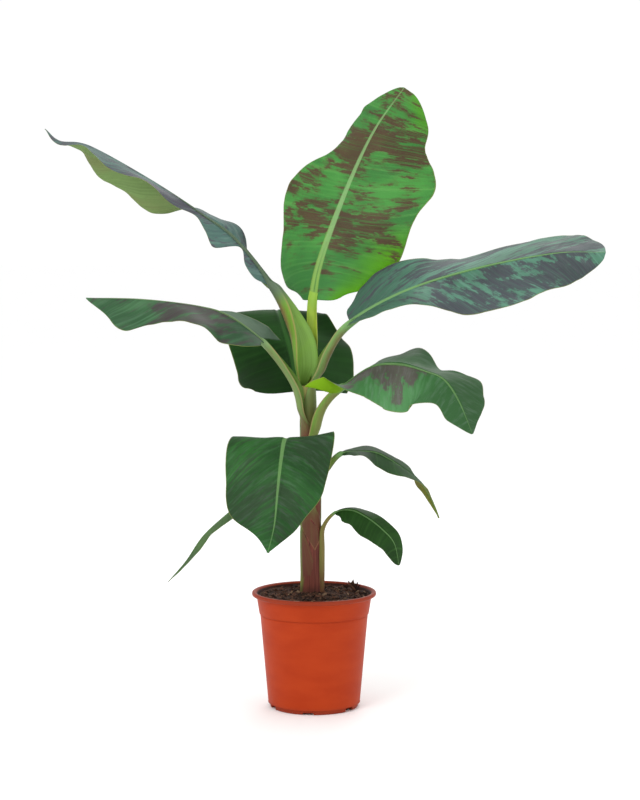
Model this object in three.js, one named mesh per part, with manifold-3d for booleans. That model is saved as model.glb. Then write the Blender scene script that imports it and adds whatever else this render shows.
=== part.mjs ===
// A young banana plant in a round nursery pot. Millimetres, +Z up, +X to the plant's right, +Y to its back.
// The origin is the centre of the pot's flat underside.
//
// Every leaf is one smooth line in space: first its stalk, then its midrib. The stalk is a grooved limb
// lofted along the first stretch, and the blade is a thin folded sheet lofted along the rest.
import * as THREE from "three";
import { mergeVertices } from "three/addons/utils/BufferGeometryUtils.js";
import Module from "manifold-3d";

const wasm = await Module();
wasm.setup();

// ---- Driving dimensions ----------------------------------------------------------------------------------

const CLEARANCE = 0.3; // between touching solids

const POT = {
  height: 196,
  rimRadius: 105, // outside of the rolled lip
  rimDepth: 7,
  collarRadius: 98.4, // at the top, inside the lip
  stepHeight: 160, // where the collar steps in to the wall
  stepRadius: 93, // bottom of the collar
  stepInset: 1.8,
  floorRadius: 77.8, // bottom of the wall
  footRadius: 74.5,
  footHeight: 8,
  wall: 2.2,
  floor: 4,
  notches: 6,
  notchWidth: 18,
  notchHeight: 3.5,
  notchDepth: 14,
  firstNotch: -97.7, // degrees from +X, just left of the front
  segments: 48,
};

const SOIL = {
  edgeHeight: 190.5,
  crownHeight: 196,
};

// A scrap of bark that stands in the soil near the back right of the rim.
const BARK_SCRAP = { at: [68, 22], size: 9, height: 13, lean: 0.5 };

// The false stem is a column of leaf sheaths. Its centre line leans a little to the left as it rises.
const STEM = {
  foot: SOIL.crownHeight + CLEARANCE,
  line: [
    [-5, 0, 194],
    [-5, 0, 250],
    [-5, 0, 330],
    [-8, 0, 450],
    [-12, 0, 545],
  ],
  radii: [19, 17, 15.5, 14, 12.5], // with a slight flare at the foot
  sides: 20,
  steps: 14,
};

// How finely a leaf is divided.
const ACROSS = [0.07, 0.3, 0.55, 0.8, 1]; // shares of a half blade, from the rib to the margin
const BLADE_STEP = 26; // along the rib
const STALK_STEP = 14;
const STALK_POINTS = 7; // across the groove and across the back of a stalk
const LEAST_WIDTH = 2.2; // of half a blade at its tip
const THICKNESS_SHARE = 0.0105; // of a leaf's length

// One entry for each leaf, from the top down.
//   line        the stalk's points and then the midrib's
//   stalkPoints how many of them come before the blade
//   facing      the compass bearing, in degrees from +X, that the leaf grows out along
//   stalkWidth  half width of the stalk at even steps, from its root to the blade
//   tip         where the blade starts to close to its tip, as a share of its length, and how pointed the
//               tip is: 0.4 is round and 0.7 is sharp
//   sweep       how far the side veins lean forward, at the base and at the tip, in shares of the half width
//   roll        degrees by which the right side is turned down, at even steps along the blade
//   left, right each half, at even steps along the blade: its width, and the degrees by which it is raised
//               next to the rib and at the margin
//   wave        height, length and phase (in turns) of the margin's ripple
//   split       where a blade that arches over is cut in two, as a share of its length
const LEAVES = [
  {
    name: "top",
    line: [
      [-9, 8, 538], [-3, 16, 612], [-2, 34, 687], [12, 58, 758], [57, 92, 878], [103, 124, 975],
      [156, 150, 1051],
    ],
    stalkPoints: 2,
    facing: 75,
    stalkWidth: [9, 10, 9, 8],
    tip: [0.7, 0.4],
    sweep: [-0.1, 0.2],
    roll: [0, 0],
    left: {
      width: [30, 80, 96, 118, 102, 60, 57, 58, 36],
      rib: [0, -10, -5, -10, -10],
      margin: [-60, -30, -20, -30, -30],
    },
    right: {
      width: [50, 105, 130, 136, 150, 132, 98, 92, 80],
      rib: [5, 0, 0, 5, 0],
      margin: [-30, -20, 10, -25, -10],
    },
    wave: [4, 150, 0.2],
  },
  {
    name: "upper_left",
    line: [
      [-14, -2, 538], [-17, -4, 604], [-32, -4, 652], [-62, 0, 706], [-127, 10, 788], [-185, 20, 831],
      [-276, 35, 890], [-378, 50, 946], [-430, 58, 955], [-455, 62, 975],
    ],
    stalkPoints: 3,
    facing: 172,
    stalkWidth: [14, 21, 18, 13],
    tip: [0.7, 0.7],
    sweep: [-0.05, 0.3],
    roll: [0, 0],
    left: {
      width: [4, 22, 24, 6, 36, 30, 16, 30, 50, 62, 62, 60, 54, 46, 38, 30, 20],
      rib: [-60, -60, -60, -40, -9, -9, -9, -12, -12],
      margin: [-60, -60, -60, -40, -9, -9, -9, -12, -12],
    },
    right: {
      width: [16, 22, 36, 44, 60, 66, 55, 48, 24],
      rib: [-60, -40, 20, 0, -45, -50, -46, -26, 0],
      margin: [-60, -40, 20, 0, -45, -50, -46, -26, 0],
    },
    wave: [6, 115, 0.85],
  },
  {
    name: "right",
    line: [
      [-6, -4, 538], [22, -16, 603], [60, -32, 651], [145, -55, 701], [257, -80, 740], [387, -108, 766],
      [469, -124, 768],
    ],
    stalkPoints: 2,
    facing: -14,
    stalkWidth: [13, 13, 10, 9],
    tip: [0.75, 0.4],
    sweep: [-0.15, 0.3],
    roll: [0, 0],
    left: {
      width: [46, 85, 90, 97, 86, 84, 101, 92, 88],
      rib: [45, 38, 18, 20, 15],
      margin: [35, 30, 12, 20, 10],
    },
    right: {
      width: [46, 85, 92, 97, 88, 95, 80, 72, 64],
      rib: [-10, -12, -40, -40, -30],
      margin: [-15, -15, -60, -55, -40],
    },
    wave: [4, 160, 0.4],
  },
  {
    name: "left",
    line: [
      [-17, -14, 470], [-23, -18, 528], [-42, -20, 567], [-85, -22, 620], [-138, -34, 662],
      [-188, -47, 679], [-277, -72, 691], [-370, -95, 694],
    ],
    stalkPoints: 3,
    facing: 192,
    stalkWidth: [9, 11, 9, 8],
    tip: [0.75, 0.6],
    sweep: [-0.4, 0.3],
    roll: [0, 0],
    left: {
      width: [25, 73, 80, 95, 66, 66, 90, 60, 40],
      rib: [-10, -25, -15, -30, -20],
      margin: [-20, -40, -25, -45, -30],
    },
    right: {
      width: [92, 92, 88, 85, 80, 75, 60, 50, 30],
      rib: [15, 0, -5, -10, -10],
      margin: [30, 0, -15, -20, -10],
    },
    wave: [4, 120, 0.4],
  },
  {
    name: "back",
    line: [
      [-14, 12, 488], [-19, 22, 508], [-26, 34, 532], [-38, 75, 588], [-52, 115, 634], [-64, 165, 664],
      [-72, 230, 654], [-77, 290, 615], [-80, 330, 564],
    ],
    stalkPoints: 2,
    facing: 98,
    stalkWidth: [8, 9, 8],
    tip: [0.7, 0.7],
    sweep: [-0.08, 0.3],
    roll: [0, 0],
    left: {
      width: [74, 99, 104, 99, 86, 66, 53, 40, 24],
      rib: [6, -8, -12, -8, 0, 0, 0, 0, 0],
      margin: [-8, -38, -45, -30, -8, -20, -30, -30, -20],
    },
    right: {
      width: [96, 118, 118, 92, 74, 62, 53, 40, 24],
      rib: [0, -8, -10, -12, 0, 0, 0, 0, 0],
      margin: [-36, -36, -22, -18, -8, -20, -30, -30, -20],
    },
    wave: [5, 120, 0.4],
    split: 0.5,
  },
  {
    name: "right_mid",
    line: [
      [-4, -12, 440], [6, -20, 492], [22, -26, 522], [48, -35, 546], [96, -60, 581], [141, -85, 586],
      [182, -110, 576], [211, -130, 563], [234, -145, 528], [254, -157, 478],
    ],
    stalkPoints: 3,
    facing: -30,
    stalkWidth: [9, 11, 9, 8],
    tip: [0.75, 0.6],
    sweep: [-0.6, 0.3],
    roll: [0, 0],
    left: {
      width: [40, 60, 80, 82, 60, 92, 72, 52, 32],
      rib: [10, 10, 6, 16, 0, 0, 8, 8, 0],
      margin: [10, 10, 8, 20, -6, 0, 10, 10, 0],
    },
    right: {
      width: [78, 66, 80, 90, 85, 75, 42, 38, 30],
      rib: [-45, -20, -38, -44, -40, -38, -32, -26, -20],
      margin: [85, -26, -52, -60, -55, -50, -42, -32, -20],
    },
    wave: [4, 120, 0.4],
    split: 0.55,
  },
  {
    name: "front",
    line: [
      [-6, -8, 330], [-12, -30, 385], [-25, -60, 425], [-34, -85, 450], [-46, -120, 468],
      [-52, -165, 440], [-57, -200, 393], [-62, -220, 340], [-72, -228, 297],
    ],
    stalkPoints: 2,
    facing: 258,
    stalkWidth: [9, 9, 8],
    tip: [0.55, 0.85],
    sweep: [-0.3, 0.3],
    roll: [0, 0],
    left: {
      width: [40, 50, 81, 80, 76, 70, 56, 48, 40],
      rib: [0, 0, 0, 0, 0],
      margin: [0, 10, -20, -20, 0],
    },
    right: {
      width: [40, 60, 88, 94, 92, 90, 88, 76, 50],
      rib: [0, 0, 0, 0, 0],
      margin: [0, 0, -20, -20, 0],
    },
    wave: [2, 120, 0.4],
    split: 0.33,
  },
  {
    name: "lower_right",
    line: [
      [5, 2, 370], [23, 5, 406], [45, 10, 429], [73, 18, 432], [108, 26, 428], [146, 34, 405],
      [179, 40, 380], [198, 44, 352], [214, 46, 314],
    ],
    stalkPoints: 2,
    facing: 11,
    stalkWidth: [7, 7, 6],
    tip: [0.6, 0.7],
    sweep: [-0.2, 0.3],
    roll: [0, 0],
    left: {
      width: [16, 30, 40, 38, 36, 32, 26, 20, 14],
      rib: [0, 0, 6, 14, 15, 15, 15, 10, 0],
      margin: [0, 0, 6, 16, 15, 15, 15, 10, 0],
    },
    right: {
      width: [16, 30, 40, 40, 36, 32, 26, 20, 14],
      rib: [-20, -5, -25, -30, -15, -10, -5, -5, 0],
      margin: [-30, -10, -40, -40, -25, -15, -5, -5, 0],
    },
    wave: [2, 80, 0.4],
    split: 0.5,
  },
  {
    name: "small_right",
    line: [
      [13, -6, 197.5], [13, -8, 267], [15, -10, 306], [35, -14, 332], [62, -18, 337], [89, -24, 325],
      [114, -30, 306], [134, -35, 283], [142, -38, 246],
    ],
    stalkPoints: 3,
    facing: -12,
    stalkWidth: [5, 6, 6, 5, 4],
    tip: [0.7, 0.6],
    sweep: [-0.2, 0.3],
    roll: [0, 0],
    left: {
      width: [12, 22, 28, 26, 26, 24, 18, 16, 14],
      rib: [0, 10, 20, 30, 30],
      margin: [-10, 0, 20, 30, 20],
    },
    right: {
      width: [14, 28, 28, 34, 32, 28, 24, 20, 18],
      rib: [-30, -45, -45, -40, -30],
      margin: [-50, -65, -65, -60, -50],
    },
    wave: [2, 60, 0.4],
    split: 0.4,
  },
  {
    name: "lower_left",
    line: [
      [-12, 0, 300], [-45, 2, 345], [-78, 4, 359], [-110, 6, 353], [-141, 8, 331], [-188, 10, 288],
      [-218, 12, 244], [-248, 14, 209],
    ],
    stalkPoints: 2,
    facing: 177,
    stalkWidth: [7, 7, 6],
    tip: [0.6, 0.7],
    sweep: [-0.2, 0.3],
    roll: [0, 0],
    left: {
      width: [12, 22, 26, 28, 26, 24, 20, 16, 12],
      rib: [-20, -20, -20, -20, -10],
      margin: [-30, -25, -22, -20, -10],
    },
    right: {
      width: [12, 22, 26, 28, 26, 24, 20, 16, 12],
      rib: [-5, -5, -5, -5, -5],
      margin: [-15, -12, -10, -10, -5],
    },
    wave: [2, 80, 0.4],
    split: 0.4,
  },
];

// ---- Curves ----------------------------------------------------------------------------------------------

// A value at share t along a list of evenly spaced values, on one smooth curve.
function smoothValue(values, t) {
  const last = values.length - 1;
  const place = THREE.MathUtils.clamp(t, 0, 1) * last;
  const i = Math.min(Math.floor(place), last - 1);
  const u = place - i;
  const [b, c] = [values[i], values[i + 1]];
  const a = i > 0 ? values[i - 1] : 2 * b - c;
  const d = i + 2 <= last ? values[i + 2] : 2 * c - b;
  const square = 2 * a - 5 * b + 4 * c - d;
  const cube = 3 * b - a - 3 * c + d;
  return 0.5 * (2 * b + (c - a) * u + square * u * u + cube * u * u * u);
}

// A smooth line through points, measured by its length.
class Line {
  constructor(points) {
    this.points = points;
    const samples = 60 * (points.length - 1);
    this.dots = [];
    this.lengths = [0];
    for (let i = 0; i <= samples; i++) {
      const along = (k) => smoothValue(points.map((p) => p[k]), i / samples);
      const dot = new THREE.Vector3(along(0), along(1), along(2));
      if (i) this.lengths.push(this.lengths[i - 1] + dot.distanceTo(this.dots[i - 1]));
      this.dots.push(dot);
    }
    this.length = this.lengths[samples];
  }

  // The length at which the line passes one of its points.
  lengthAtPoint(index) {
    return this.lengths[60 * index];
  }

  // The place and the direction at a length, carried straight on past either end.
  at(length) {
    let i = this.lengths.findIndex((l) => l > length) - 1;
    if (i === -2) i = this.dots.length - 2;
    i = Math.max(i, 0);
    const span = this.lengths[i + 1] - this.lengths[i];
    const place = this.dots[i].clone().lerp(this.dots[i + 1], (length - this.lengths[i]) / span);
    const before = this.dots[Math.max(i - 3, 0)];
    const after = this.dots[Math.min(i + 4, this.dots.length - 1)];
    return { place, along: after.clone().sub(before).normalize() };
  }
}

// ---- Solids ----------------------------------------------------------------------------------------------

// A closed mesh as a manifold-3d solid.
function solidFrom(geometry) {
  const bare = geometry.clone();
  bare.deleteAttribute("normal");
  bare.deleteAttribute("uv");
  const merged = mergeVertices(bare, 1e-4);
  const mesh = new wasm.Mesh({
    numProp: 3,
    vertProperties: merged.attributes.position.array,
    triVerts: new Uint32Array(merged.index.array),
  });
  return new wasm.Manifold(mesh);
}

function geometryFrom(solid) {
  const mesh = solid.getMesh();
  const geometry = new THREE.BufferGeometry();
  geometry.setAttribute("position", new THREE.BufferAttribute(mesh.vertProperties, 3));
  geometry.setIndex(new THREE.BufferAttribute(mesh.triVerts, 1));
  const flat = geometry.toNonIndexed();
  flat.computeVertexNormals();
  return flat;
}

// A closed solid lofted through sections. Each section has an upper and a lower row of as many points, both
// from left to right, and the rows of the first and last section close the two ends.
function loft(sections) {
  const across = sections[0].upper.length;
  const around = 2 * across;
  const corners = sections.flatMap(({ upper, lower }) => [...upper, ...lower.slice().reverse()]);
  const index = [];
  for (let i = 0; i + 1 < sections.length; i++) {
    for (let j = 0; j < around; j++) {
      const [a, b] = [i * around + j, i * around + ((j + 1) % around)];
      index.push(a, b, a + around, b, b + around, a + around);
    }
  }
  const end = (sections.length - 1) * around;
  for (let j = 0; j + 1 < across; j++) {
    const [a, b, c, d] = [j, j + 1, around - 2 - j, around - 1 - j];
    index.push(a, d, b, b, d, c);
    index.push(end + a, end + b, end + d, end + b, end + c, end + d);
  }
  const geometry = new THREE.BufferGeometry().setFromPoints(corners);
  geometry.setIndex(index);
  const solid = solidFrom(geometry);
  if (solid.volume() > 0) return solid;
  for (let i = 0; i < index.length; i += 3) [index[i + 1], index[i + 2]] = [index[i + 2], index[i + 1]];
  geometry.setIndex(index);
  return solidFrom(geometry);
}

// What is left of a solid when others are taken from it, without loose scraps.
function cutBy(solid, others) {
  let left = solid;
  for (const other of others) left = left.subtract(other);
  const pieces = left.decompose();
  return pieces.reduce((most, piece) => (piece.volume() > most.volume() ? piece : most));
}

// ---- Leaves ----------------------------------------------------------------------------------------------

class Leaf {
  constructor(form) {
    Object.assign(this, form);
    this.path = new Line(form.line);
    this.bladeStart = this.path.lengthAtPoint(form.stalkPoints);
    this.bladeLength = this.path.length - this.bladeStart;
    const bearing = THREE.MathUtils.degToRad(form.facing);
    this.outward = new THREE.Vector3(Math.cos(bearing), Math.sin(bearing), 0);
    this.thickness = this.bladeLength * THICKNESS_SHARE;
  }

  // Place, right-hand direction and upward normal at a length along the leaf's line.
  frame(length) {
    const { place, along } = this.path.at(length);
    const share = (length - this.bladeStart) / this.bladeLength;
    const level = new THREE.Vector3(0, 0, 1);
    const right = this.outward.clone().cross(level);
    right.addScaledVector(along, -right.dot(along)).normalize();
    const normal = right.clone().cross(along);
    const started = THREE.MathUtils.smoothstep(share, -0.2, 0);
    const turn = THREE.MathUtils.degToRad(smoothValue(this.roll, share) * started);
    return {
      place,
      share,
      right: right.clone().multiplyScalar(Math.cos(turn)).addScaledVector(normal, -Math.sin(turn)),
      normal: normal.clone().multiplyScalar(Math.cos(turn)).addScaledVector(right, Math.sin(turn)),
    };
  }

  // Width of the half on side -1 (left) or 1 (right), at share t of the blade's length.
  widthAt(t, side) {
    const half = side < 0 ? this.left : this.right;
    const [from, point] = this.tip;
    const closing = Math.max((t - from) / (1 - from), 0);
    const closed = Math.pow(Math.max(1 - closing * closing, 0), point);
    return Math.max(smoothValue(half.width, t) * closed, LEAST_WIDTH);
  }

  // A point of the blade's middle surface, and its normal, at a length along the leaf's line and a share of
  // the half's width. The half bends evenly from its angle at the rib to its angle at the margin.
  surface(length, out, width, side) {
    const { place, share, right, normal } = this.frame(length);
    const half = side < 0 ? this.left : this.right;
    const start = THREE.MathUtils.degToRad(smoothValue(half.rib, share));
    const bend = THREE.MathUtils.degToRad(smoothValue(half.margin, share)) - start || 1e-4;
    const angle = start + bend * out;
    const sideways = (width / bend) * (Math.sin(angle) - Math.sin(start));
    const upwards = (width / bend) * (Math.cos(start) - Math.cos(angle));
    const [height, wavelength, phase] = this.wave;
    const turn = 2 * Math.PI * (length / wavelength + phase + (side < 0 ? 0.35 : 0));
    const ripple = height * out * out * Math.min(width / 40, 1) * Math.sin(turn);
    return {
      point: place.addScaledVector(right, side * sideways).addScaledVector(normal, upwards + ripple),
      normal: normal.multiplyScalar(Math.cos(angle)).addScaledVector(right, -side * Math.sin(angle)),
    };
  }

  // The blade's section along one pair of side veins. The midrib stands out under its middle.
  section(t) {
    const middle = this.frame(this.bladeStart + t * this.bladeLength);
    const ribDepth = THREE.MathUtils.lerp(7, 2, t);
    const upper = [middle.place.clone().addScaledVector(middle.normal, this.thickness / 2)];
    const lower = [middle.place.clone().addScaledVector(middle.normal, -this.thickness / 2 - ribDepth)];
    for (const side of [-1, 1]) {
      const width = this.widthAt(t, side);
      const forward = THREE.MathUtils.lerp(...this.sweep, THREE.MathUtils.smoothstep(t, 0, 0.5));
      const lean = forward * (1 - THREE.MathUtils.smoothstep(t, 0.8, 1));
      for (const share of ACROSS) {
        const length = this.bladeStart + t * this.bladeLength + lean * width * share * share;
        const { point, normal } = this.surface(length, share, width, side);
        const top = point.clone().addScaledVector(normal, this.thickness / 2);
        const bottom = point.clone().addScaledVector(normal, -this.thickness / 2);
        if (side < 0) {
          upper.unshift(top);
          lower.unshift(bottom);
        } else {
          upper.push(top);
          lower.push(bottom);
        }
      }
    }
    return { upper, lower };
  }

  // The blade between two shares of its length, as one solid.
  blade(from, to) {
    const steps = Math.max(3, Math.round(((to - from) * this.bladeLength) / BLADE_STEP));
    const sections = [];
    for (let i = 0; i <= steps; i++) sections.push(this.section(THREE.MathUtils.lerp(from, to, i / steps)));
    return loft(sections);
  }

  // The stalk: a limb with a round back and a groove on its upper side, grown on all sides by a margin.
  stalk(margin = 0) {
    const length = this.bladeStart - CLEARANCE;
    const steps = Math.max(3, Math.round(length / STALK_STEP));
    const sections = [];
    for (let i = 0; i <= steps; i++) {
      const { place, right, normal } = this.frame((length * i) / steps);
      const width = smoothValue(this.stalkWidth, i / steps) + margin;
      const at = (x, z) => place.clone().addScaledVector(right, x).addScaledVector(normal, z);
      const upper = [];
      const lower = [];
      for (let j = 0; j < STALK_POINTS; j++) {
        const u = -1 + (2 * j) / (STALK_POINTS - 1);
        const round = Math.sqrt(Math.max(1 - u * u, 0));
        upper.push(at(width * u, width * (0.45 - 0.4 * round) + margin));
        lower.push(at(width * u * 0.999, -width * 0.85 * round));
      }
      sections.push({ upper, lower });
    }
    return loft(sections);
  }
}

// ---- Pot and soil ----------------------------------------------------------------------------------------

// Outer radius of the pot at a height: a tapered wall up to the step, and a collar that flares above it.
function wallRadius(height) {
  const { floorRadius, stepRadius, stepInset, collarRadius, footHeight, stepHeight } = POT;
  if (height < stepHeight) {
    const share = (height - footHeight) / (stepHeight - footHeight);
    return THREE.MathUtils.lerp(floorRadius, stepRadius - stepInset, share);
  }
  const share = (height - stepHeight) / (POT.height - stepHeight);
  return THREE.MathUtils.lerp(stepRadius, collarRadius, share);
}

function turned(profile, segments = POT.segments) {
  const lathe = new THREE.LatheGeometry(profile.map(([r, z]) => new THREE.Vector2(r, z)), segments);
  return solidFrom(lathe.rotateX(Math.PI / 2));
}

function potSolid() {
  const { height, rimRadius, rimDepth, stepHeight, footRadius, footHeight, wall, floor } = POT;
  const lip = rimDepth / 2;
  const inner = (z) => wallRadius(Math.max(z, footHeight)) - wall;
  const profile = [
    [0, 0],
    [footRadius, 0],
    [footRadius + 0.6, footHeight - 1.5],
    [POT.floorRadius, footHeight],
    [wallRadius(stepHeight - 2), stepHeight - 2],
    [wallRadius(stepHeight + 1), stepHeight + 1],
    [wallRadius(height - rimDepth - 3), height - rimDepth - 3],
    [rimRadius - 2.5, height - rimDepth],
    [rimRadius, height - lip],
    [rimRadius - 1.2, height - 1.2],
    [rimRadius - 4, height],
    [inner(height) + 1, height],
    [inner(stepHeight + 1), stepHeight + 1],
    [inner(stepHeight - 2), stepHeight - 2],
    [inner(footHeight), footHeight],
    [footRadius - wall, floor],
    [0, floor],
  ];
  let pot = turned(profile);
  for (let i = 0; i < POT.notches; i++) {
    const cutter = new THREE.BoxGeometry(POT.notchDepth, POT.notchWidth, 2 * POT.notchHeight);
    cutter.translate(footRadius + POT.notchDepth / 2 - 5, 0, 0);
    cutter.rotateZ(THREE.MathUtils.degToRad(POT.firstNotch + (360 / POT.notches) * i));
    pot = pot.subtract(solidFrom(cutter));
  }
  return pot;
}

function soilSolid() {
  const { floor, footHeight, footRadius, wall, stepHeight } = POT;
  const inner = (z) => wallRadius(z) - wall - CLEARANCE;
  const slope = (share) => THREE.MathUtils.smoothstep(share, 0.25, 1);
  const dome = (share) => THREE.MathUtils.lerp(SOIL.crownHeight, SOIL.edgeHeight, slope(share));
  const rim = inner(SOIL.edgeHeight);
  const profile = [
    [0, floor + CLEARANCE],
    [footRadius - wall - CLEARANCE, floor + CLEARANCE],
    [inner(footHeight) - 0.3, footHeight],
    [inner(stepHeight - 2), stepHeight - 2],
    [inner(stepHeight + 1), stepHeight + 1],
    [rim, SOIL.edgeHeight],
    ...[0.8, 0.6, 0.4, 0.25, 0].map((share) => [rim * share, dome(share)]),
  ];
  const { at, size, height, lean } = BARK_SCRAP;
  const scrap = new THREE.ConeGeometry(size / 2, height, 5).rotateX(Math.PI / 2);
  scrap.translate(0, 0, height / 2 - 3).applyMatrix4(new THREE.Matrix4().makeShear(0, 0, 0, 0, lean, 0));
  scrap.translate(at[0], at[1], dome(Math.hypot(...at) / rim));
  return turned(profile, 40).add(solidFrom(scrap));
}

// ---- Stem ------------------------------------------------------------------------------------------------

function stemSolid(margin = 0) {
  const path = new Line(STEM.line);
  const sections = [];
  for (let i = 0; i <= STEM.steps; i++) {
    const share = i / STEM.steps;
    const { place } = path.at(path.length * share);
    place.z = Math.max(place.z, STEM.foot) + (i === STEM.steps ? margin : 0) - (i === 0 ? margin : 0);
    const radius = smoothValue(STEM.radii, share) + margin;
    const half = STEM.sides / 2;
    const upper = [];
    const lower = [];
    for (let j = 0; j <= half; j++) {
      const angle = Math.PI * (1 - j / half);
      const [x, y] = [radius * Math.cos(angle), radius * Math.sin(angle)];
      upper.push(new THREE.Vector3(place.x + x, place.y + y, place.z));
      lower.push(new THREE.Vector3(place.x + x, place.y - y, place.z));
    }
    sections.push({ upper, lower });
  }
  return loft(sections);
}

// ---- Assembly --------------------------------------------------------------------------------------------

const material = (color, roughness) => new THREE.MeshStandardMaterial({ color, roughness, metalness: 0 });
const MATERIALS = {
  pot: material(0xbb4526, 0.45),
  soil: material(0x3a2a22, 0.95),
  stem: material(0x7a4a3c, 0.5),
  stalk: material(0x86a860, 0.45),
  blade: material(0x2f6b38, 0.4),
};

const plant = new THREE.Group();

function place(name, solid, kind) {
  const mesh = new THREE.Mesh(geometryFrom(solid), MATERIALS[kind]);
  mesh.name = name;
  plant.add(mesh);
}

place("pot", potSolid(), "pot");
place("soil", soilSolid(), "soil");
place("stem", stemSolid(), "stem");

const taken = [stemSolid(CLEARANCE)]; // what the stalks and blades keep clear of
const leaves = LEAVES.map((form) => new Leaf(form));
for (const leaf of leaves) {
  place(`${leaf.name}_stalk`, cutBy(leaf.stalk(), taken), "stalk");
  taken.push(leaf.stalk(CLEARANCE));
}
for (const leaf of leaves) {
  if (leaf.split) {
    const gap = CLEARANCE / 2 / leaf.bladeLength;
    place(`${leaf.name}_blade_inner`, cutBy(leaf.blade(0, leaf.split - gap), taken), "blade");
    place(`${leaf.name}_blade_outer`, cutBy(leaf.blade(leaf.split + gap, 1), taken), "blade");
  } else {
    place(`${leaf.name}_blade`, cutBy(leaf.blade(0, 1), taken), "blade");
  }
}

export default plant;
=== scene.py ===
# %% [markdown]
# # A young banana plant in its nursery pot
#
# The plant is ten leaves on a false stem. A banana has no trunk: what looks like one is a column of leaf
# sheaths, rolled round each other, and each sheath runs on into a grooved stalk, a midrib and a blade.
# The frame of plain solids is loaded first. It fixes where every piece sits, and each piece made here
# stands for one or more of its nodes.

# %% Load the frame
import math

import bpy
import numpy as np
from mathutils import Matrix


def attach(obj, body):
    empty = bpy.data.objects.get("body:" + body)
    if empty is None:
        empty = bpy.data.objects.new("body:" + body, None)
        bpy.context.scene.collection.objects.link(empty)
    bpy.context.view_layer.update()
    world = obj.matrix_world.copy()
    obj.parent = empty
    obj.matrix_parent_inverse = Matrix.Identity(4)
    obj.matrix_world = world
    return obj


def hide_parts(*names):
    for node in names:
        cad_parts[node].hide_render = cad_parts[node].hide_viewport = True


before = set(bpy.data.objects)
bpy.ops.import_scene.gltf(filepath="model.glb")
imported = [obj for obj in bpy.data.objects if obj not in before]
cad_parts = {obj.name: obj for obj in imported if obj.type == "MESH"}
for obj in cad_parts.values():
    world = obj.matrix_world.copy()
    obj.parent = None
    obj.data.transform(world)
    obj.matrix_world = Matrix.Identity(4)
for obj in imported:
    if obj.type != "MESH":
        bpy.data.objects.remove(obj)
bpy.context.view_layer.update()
print("nodes in the frame:", len(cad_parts))

# %% [markdown]
# ## Numbers
#
# All sizes are millimetres, as on a grower's sheet, and become metres only when a mesh is made. The origin
# is the centre of the pot's underside. Left and right are as seen along a leaf from its base, with its
# upper side up. The same shapes could be pushed about by hand in Edit Mode, point by point. In a table each
# number says what it is, and one leaf can be changed without touching the others.
#
# Every leaf has one line through space, and its first points belong to the stalk. The other entries are:
#
# - facing: the bearing that the leaf leans out to, in degrees from the right-hand side towards the back
# - stalk_width: half the stalk's width at even steps along it
# - tip: the share of the blade where it starts to close, and how pointed it is
# - sweep: how far the side veins have leant forward at the margin, in widths of the half, at the base of
#   the blade and from its middle on
# - wave: the height and length of the ripple along the margin, and where it begins in turns
# - left and right: at even steps along the blade, the width of that half, and the degrees by which it is
#   raised next to the rib and at the margin

# %% The pot, the soil and the stem
MM = 0.001
POT = dict(
    height=196.0, rim_radius=105.0, rim_depth=7.0, collar_radius=98.4, step_height=160.0, step_radius=93.0,
    step_inset=1.8, floor_radius=77.8, foot_radius=74.5, foot_height=8.0, wall=2.2, floor=4.0,
    notches=6, notch_width=18.0, front_notch_height=3.5, other_notch_height=6.6, first_notch=-97.7,
)
SOIL = dict(edge_height=190.5, crown_height=196.0, lower_face=150.0, lower_share=0.93, gap_to_wall=0.4)
BARK_SCRAP = dict(at=(68.0, 22.0), height=19.0)
STEM_LINE = [(-5, 0, 194), (-5, 0, 250), (-5, 0, 330), (-8, 0, 450), (-12, 0, 545)]
STEM_RADII = [19, 17, 15.5, 14, 12.5]
print("pot:", POT["height"], "mm high and", 2 * POT["rim_radius"], "mm wide")

# %% The three highest leaves
LEAVES = {}
LEAVES["top"] = dict(
    line=[(-9, 8, 538), (-3, 16, 612), (-2, 34, 687), (12, 58, 758), (57, 92, 878), (103, 124, 975),
          (156, 150, 1051)],
    stalk_points=2, facing=75, stalk_width=[9, 10, 9, 8],
    tip=(0.7, 0.4), sweep=(-0.1, 0.2), wave=(4, 150, 0.2),
    left=dict(
        width=[30, 80, 96, 118, 102, 60, 57, 58, 36],
        rib=[0, -10, -5, -10, -10],
        margin=[-60, -30, -20, -30, -30],
    ),
    right=dict(
        width=[50, 105, 130, 136, 150, 132, 98, 92, 80],
        rib=[5, 0, 0, 5, 0],
        margin=[-30, -20, 10, -25, -10],
    ),
)
LEAVES["upper_left"] = dict(
    line=[(-14, -2, 538), (-17, -4, 604), (-32, -4, 652), (-62, 0, 706), (-127, 10, 788), (-185, 20, 831),
          (-276, 35, 890), (-378, 50, 946), (-430, 58, 955), (-455, 62, 975)],
    stalk_points=3, facing=172, stalk_width=[14, 21, 18, 13],
    tip=(0.7, 0.7), sweep=(-0.05, 0.3), wave=(6, 115, 0.85),
    left=dict(
        width=[4, 22, 24, 6, 36, 30, 16, 30, 50, 62, 62, 60, 54, 46, 38, 30, 20],
        rib=[-60, -60, -60, -40, -9, -9, -9, -12, -12],
        margin=[-60, -60, -60, -40, -9, -9, -9, -12, -12],
    ),
    right=dict(
        width=[16, 22, 36, 44, 60, 66, 55, 48, 24],
        rib=[-60, -40, 20, 0, -45, -50, -46, -26, 0],
        margin=[-60, -40, 20, 0, -45, -50, -46, -26, 0],
    ),
)
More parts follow.
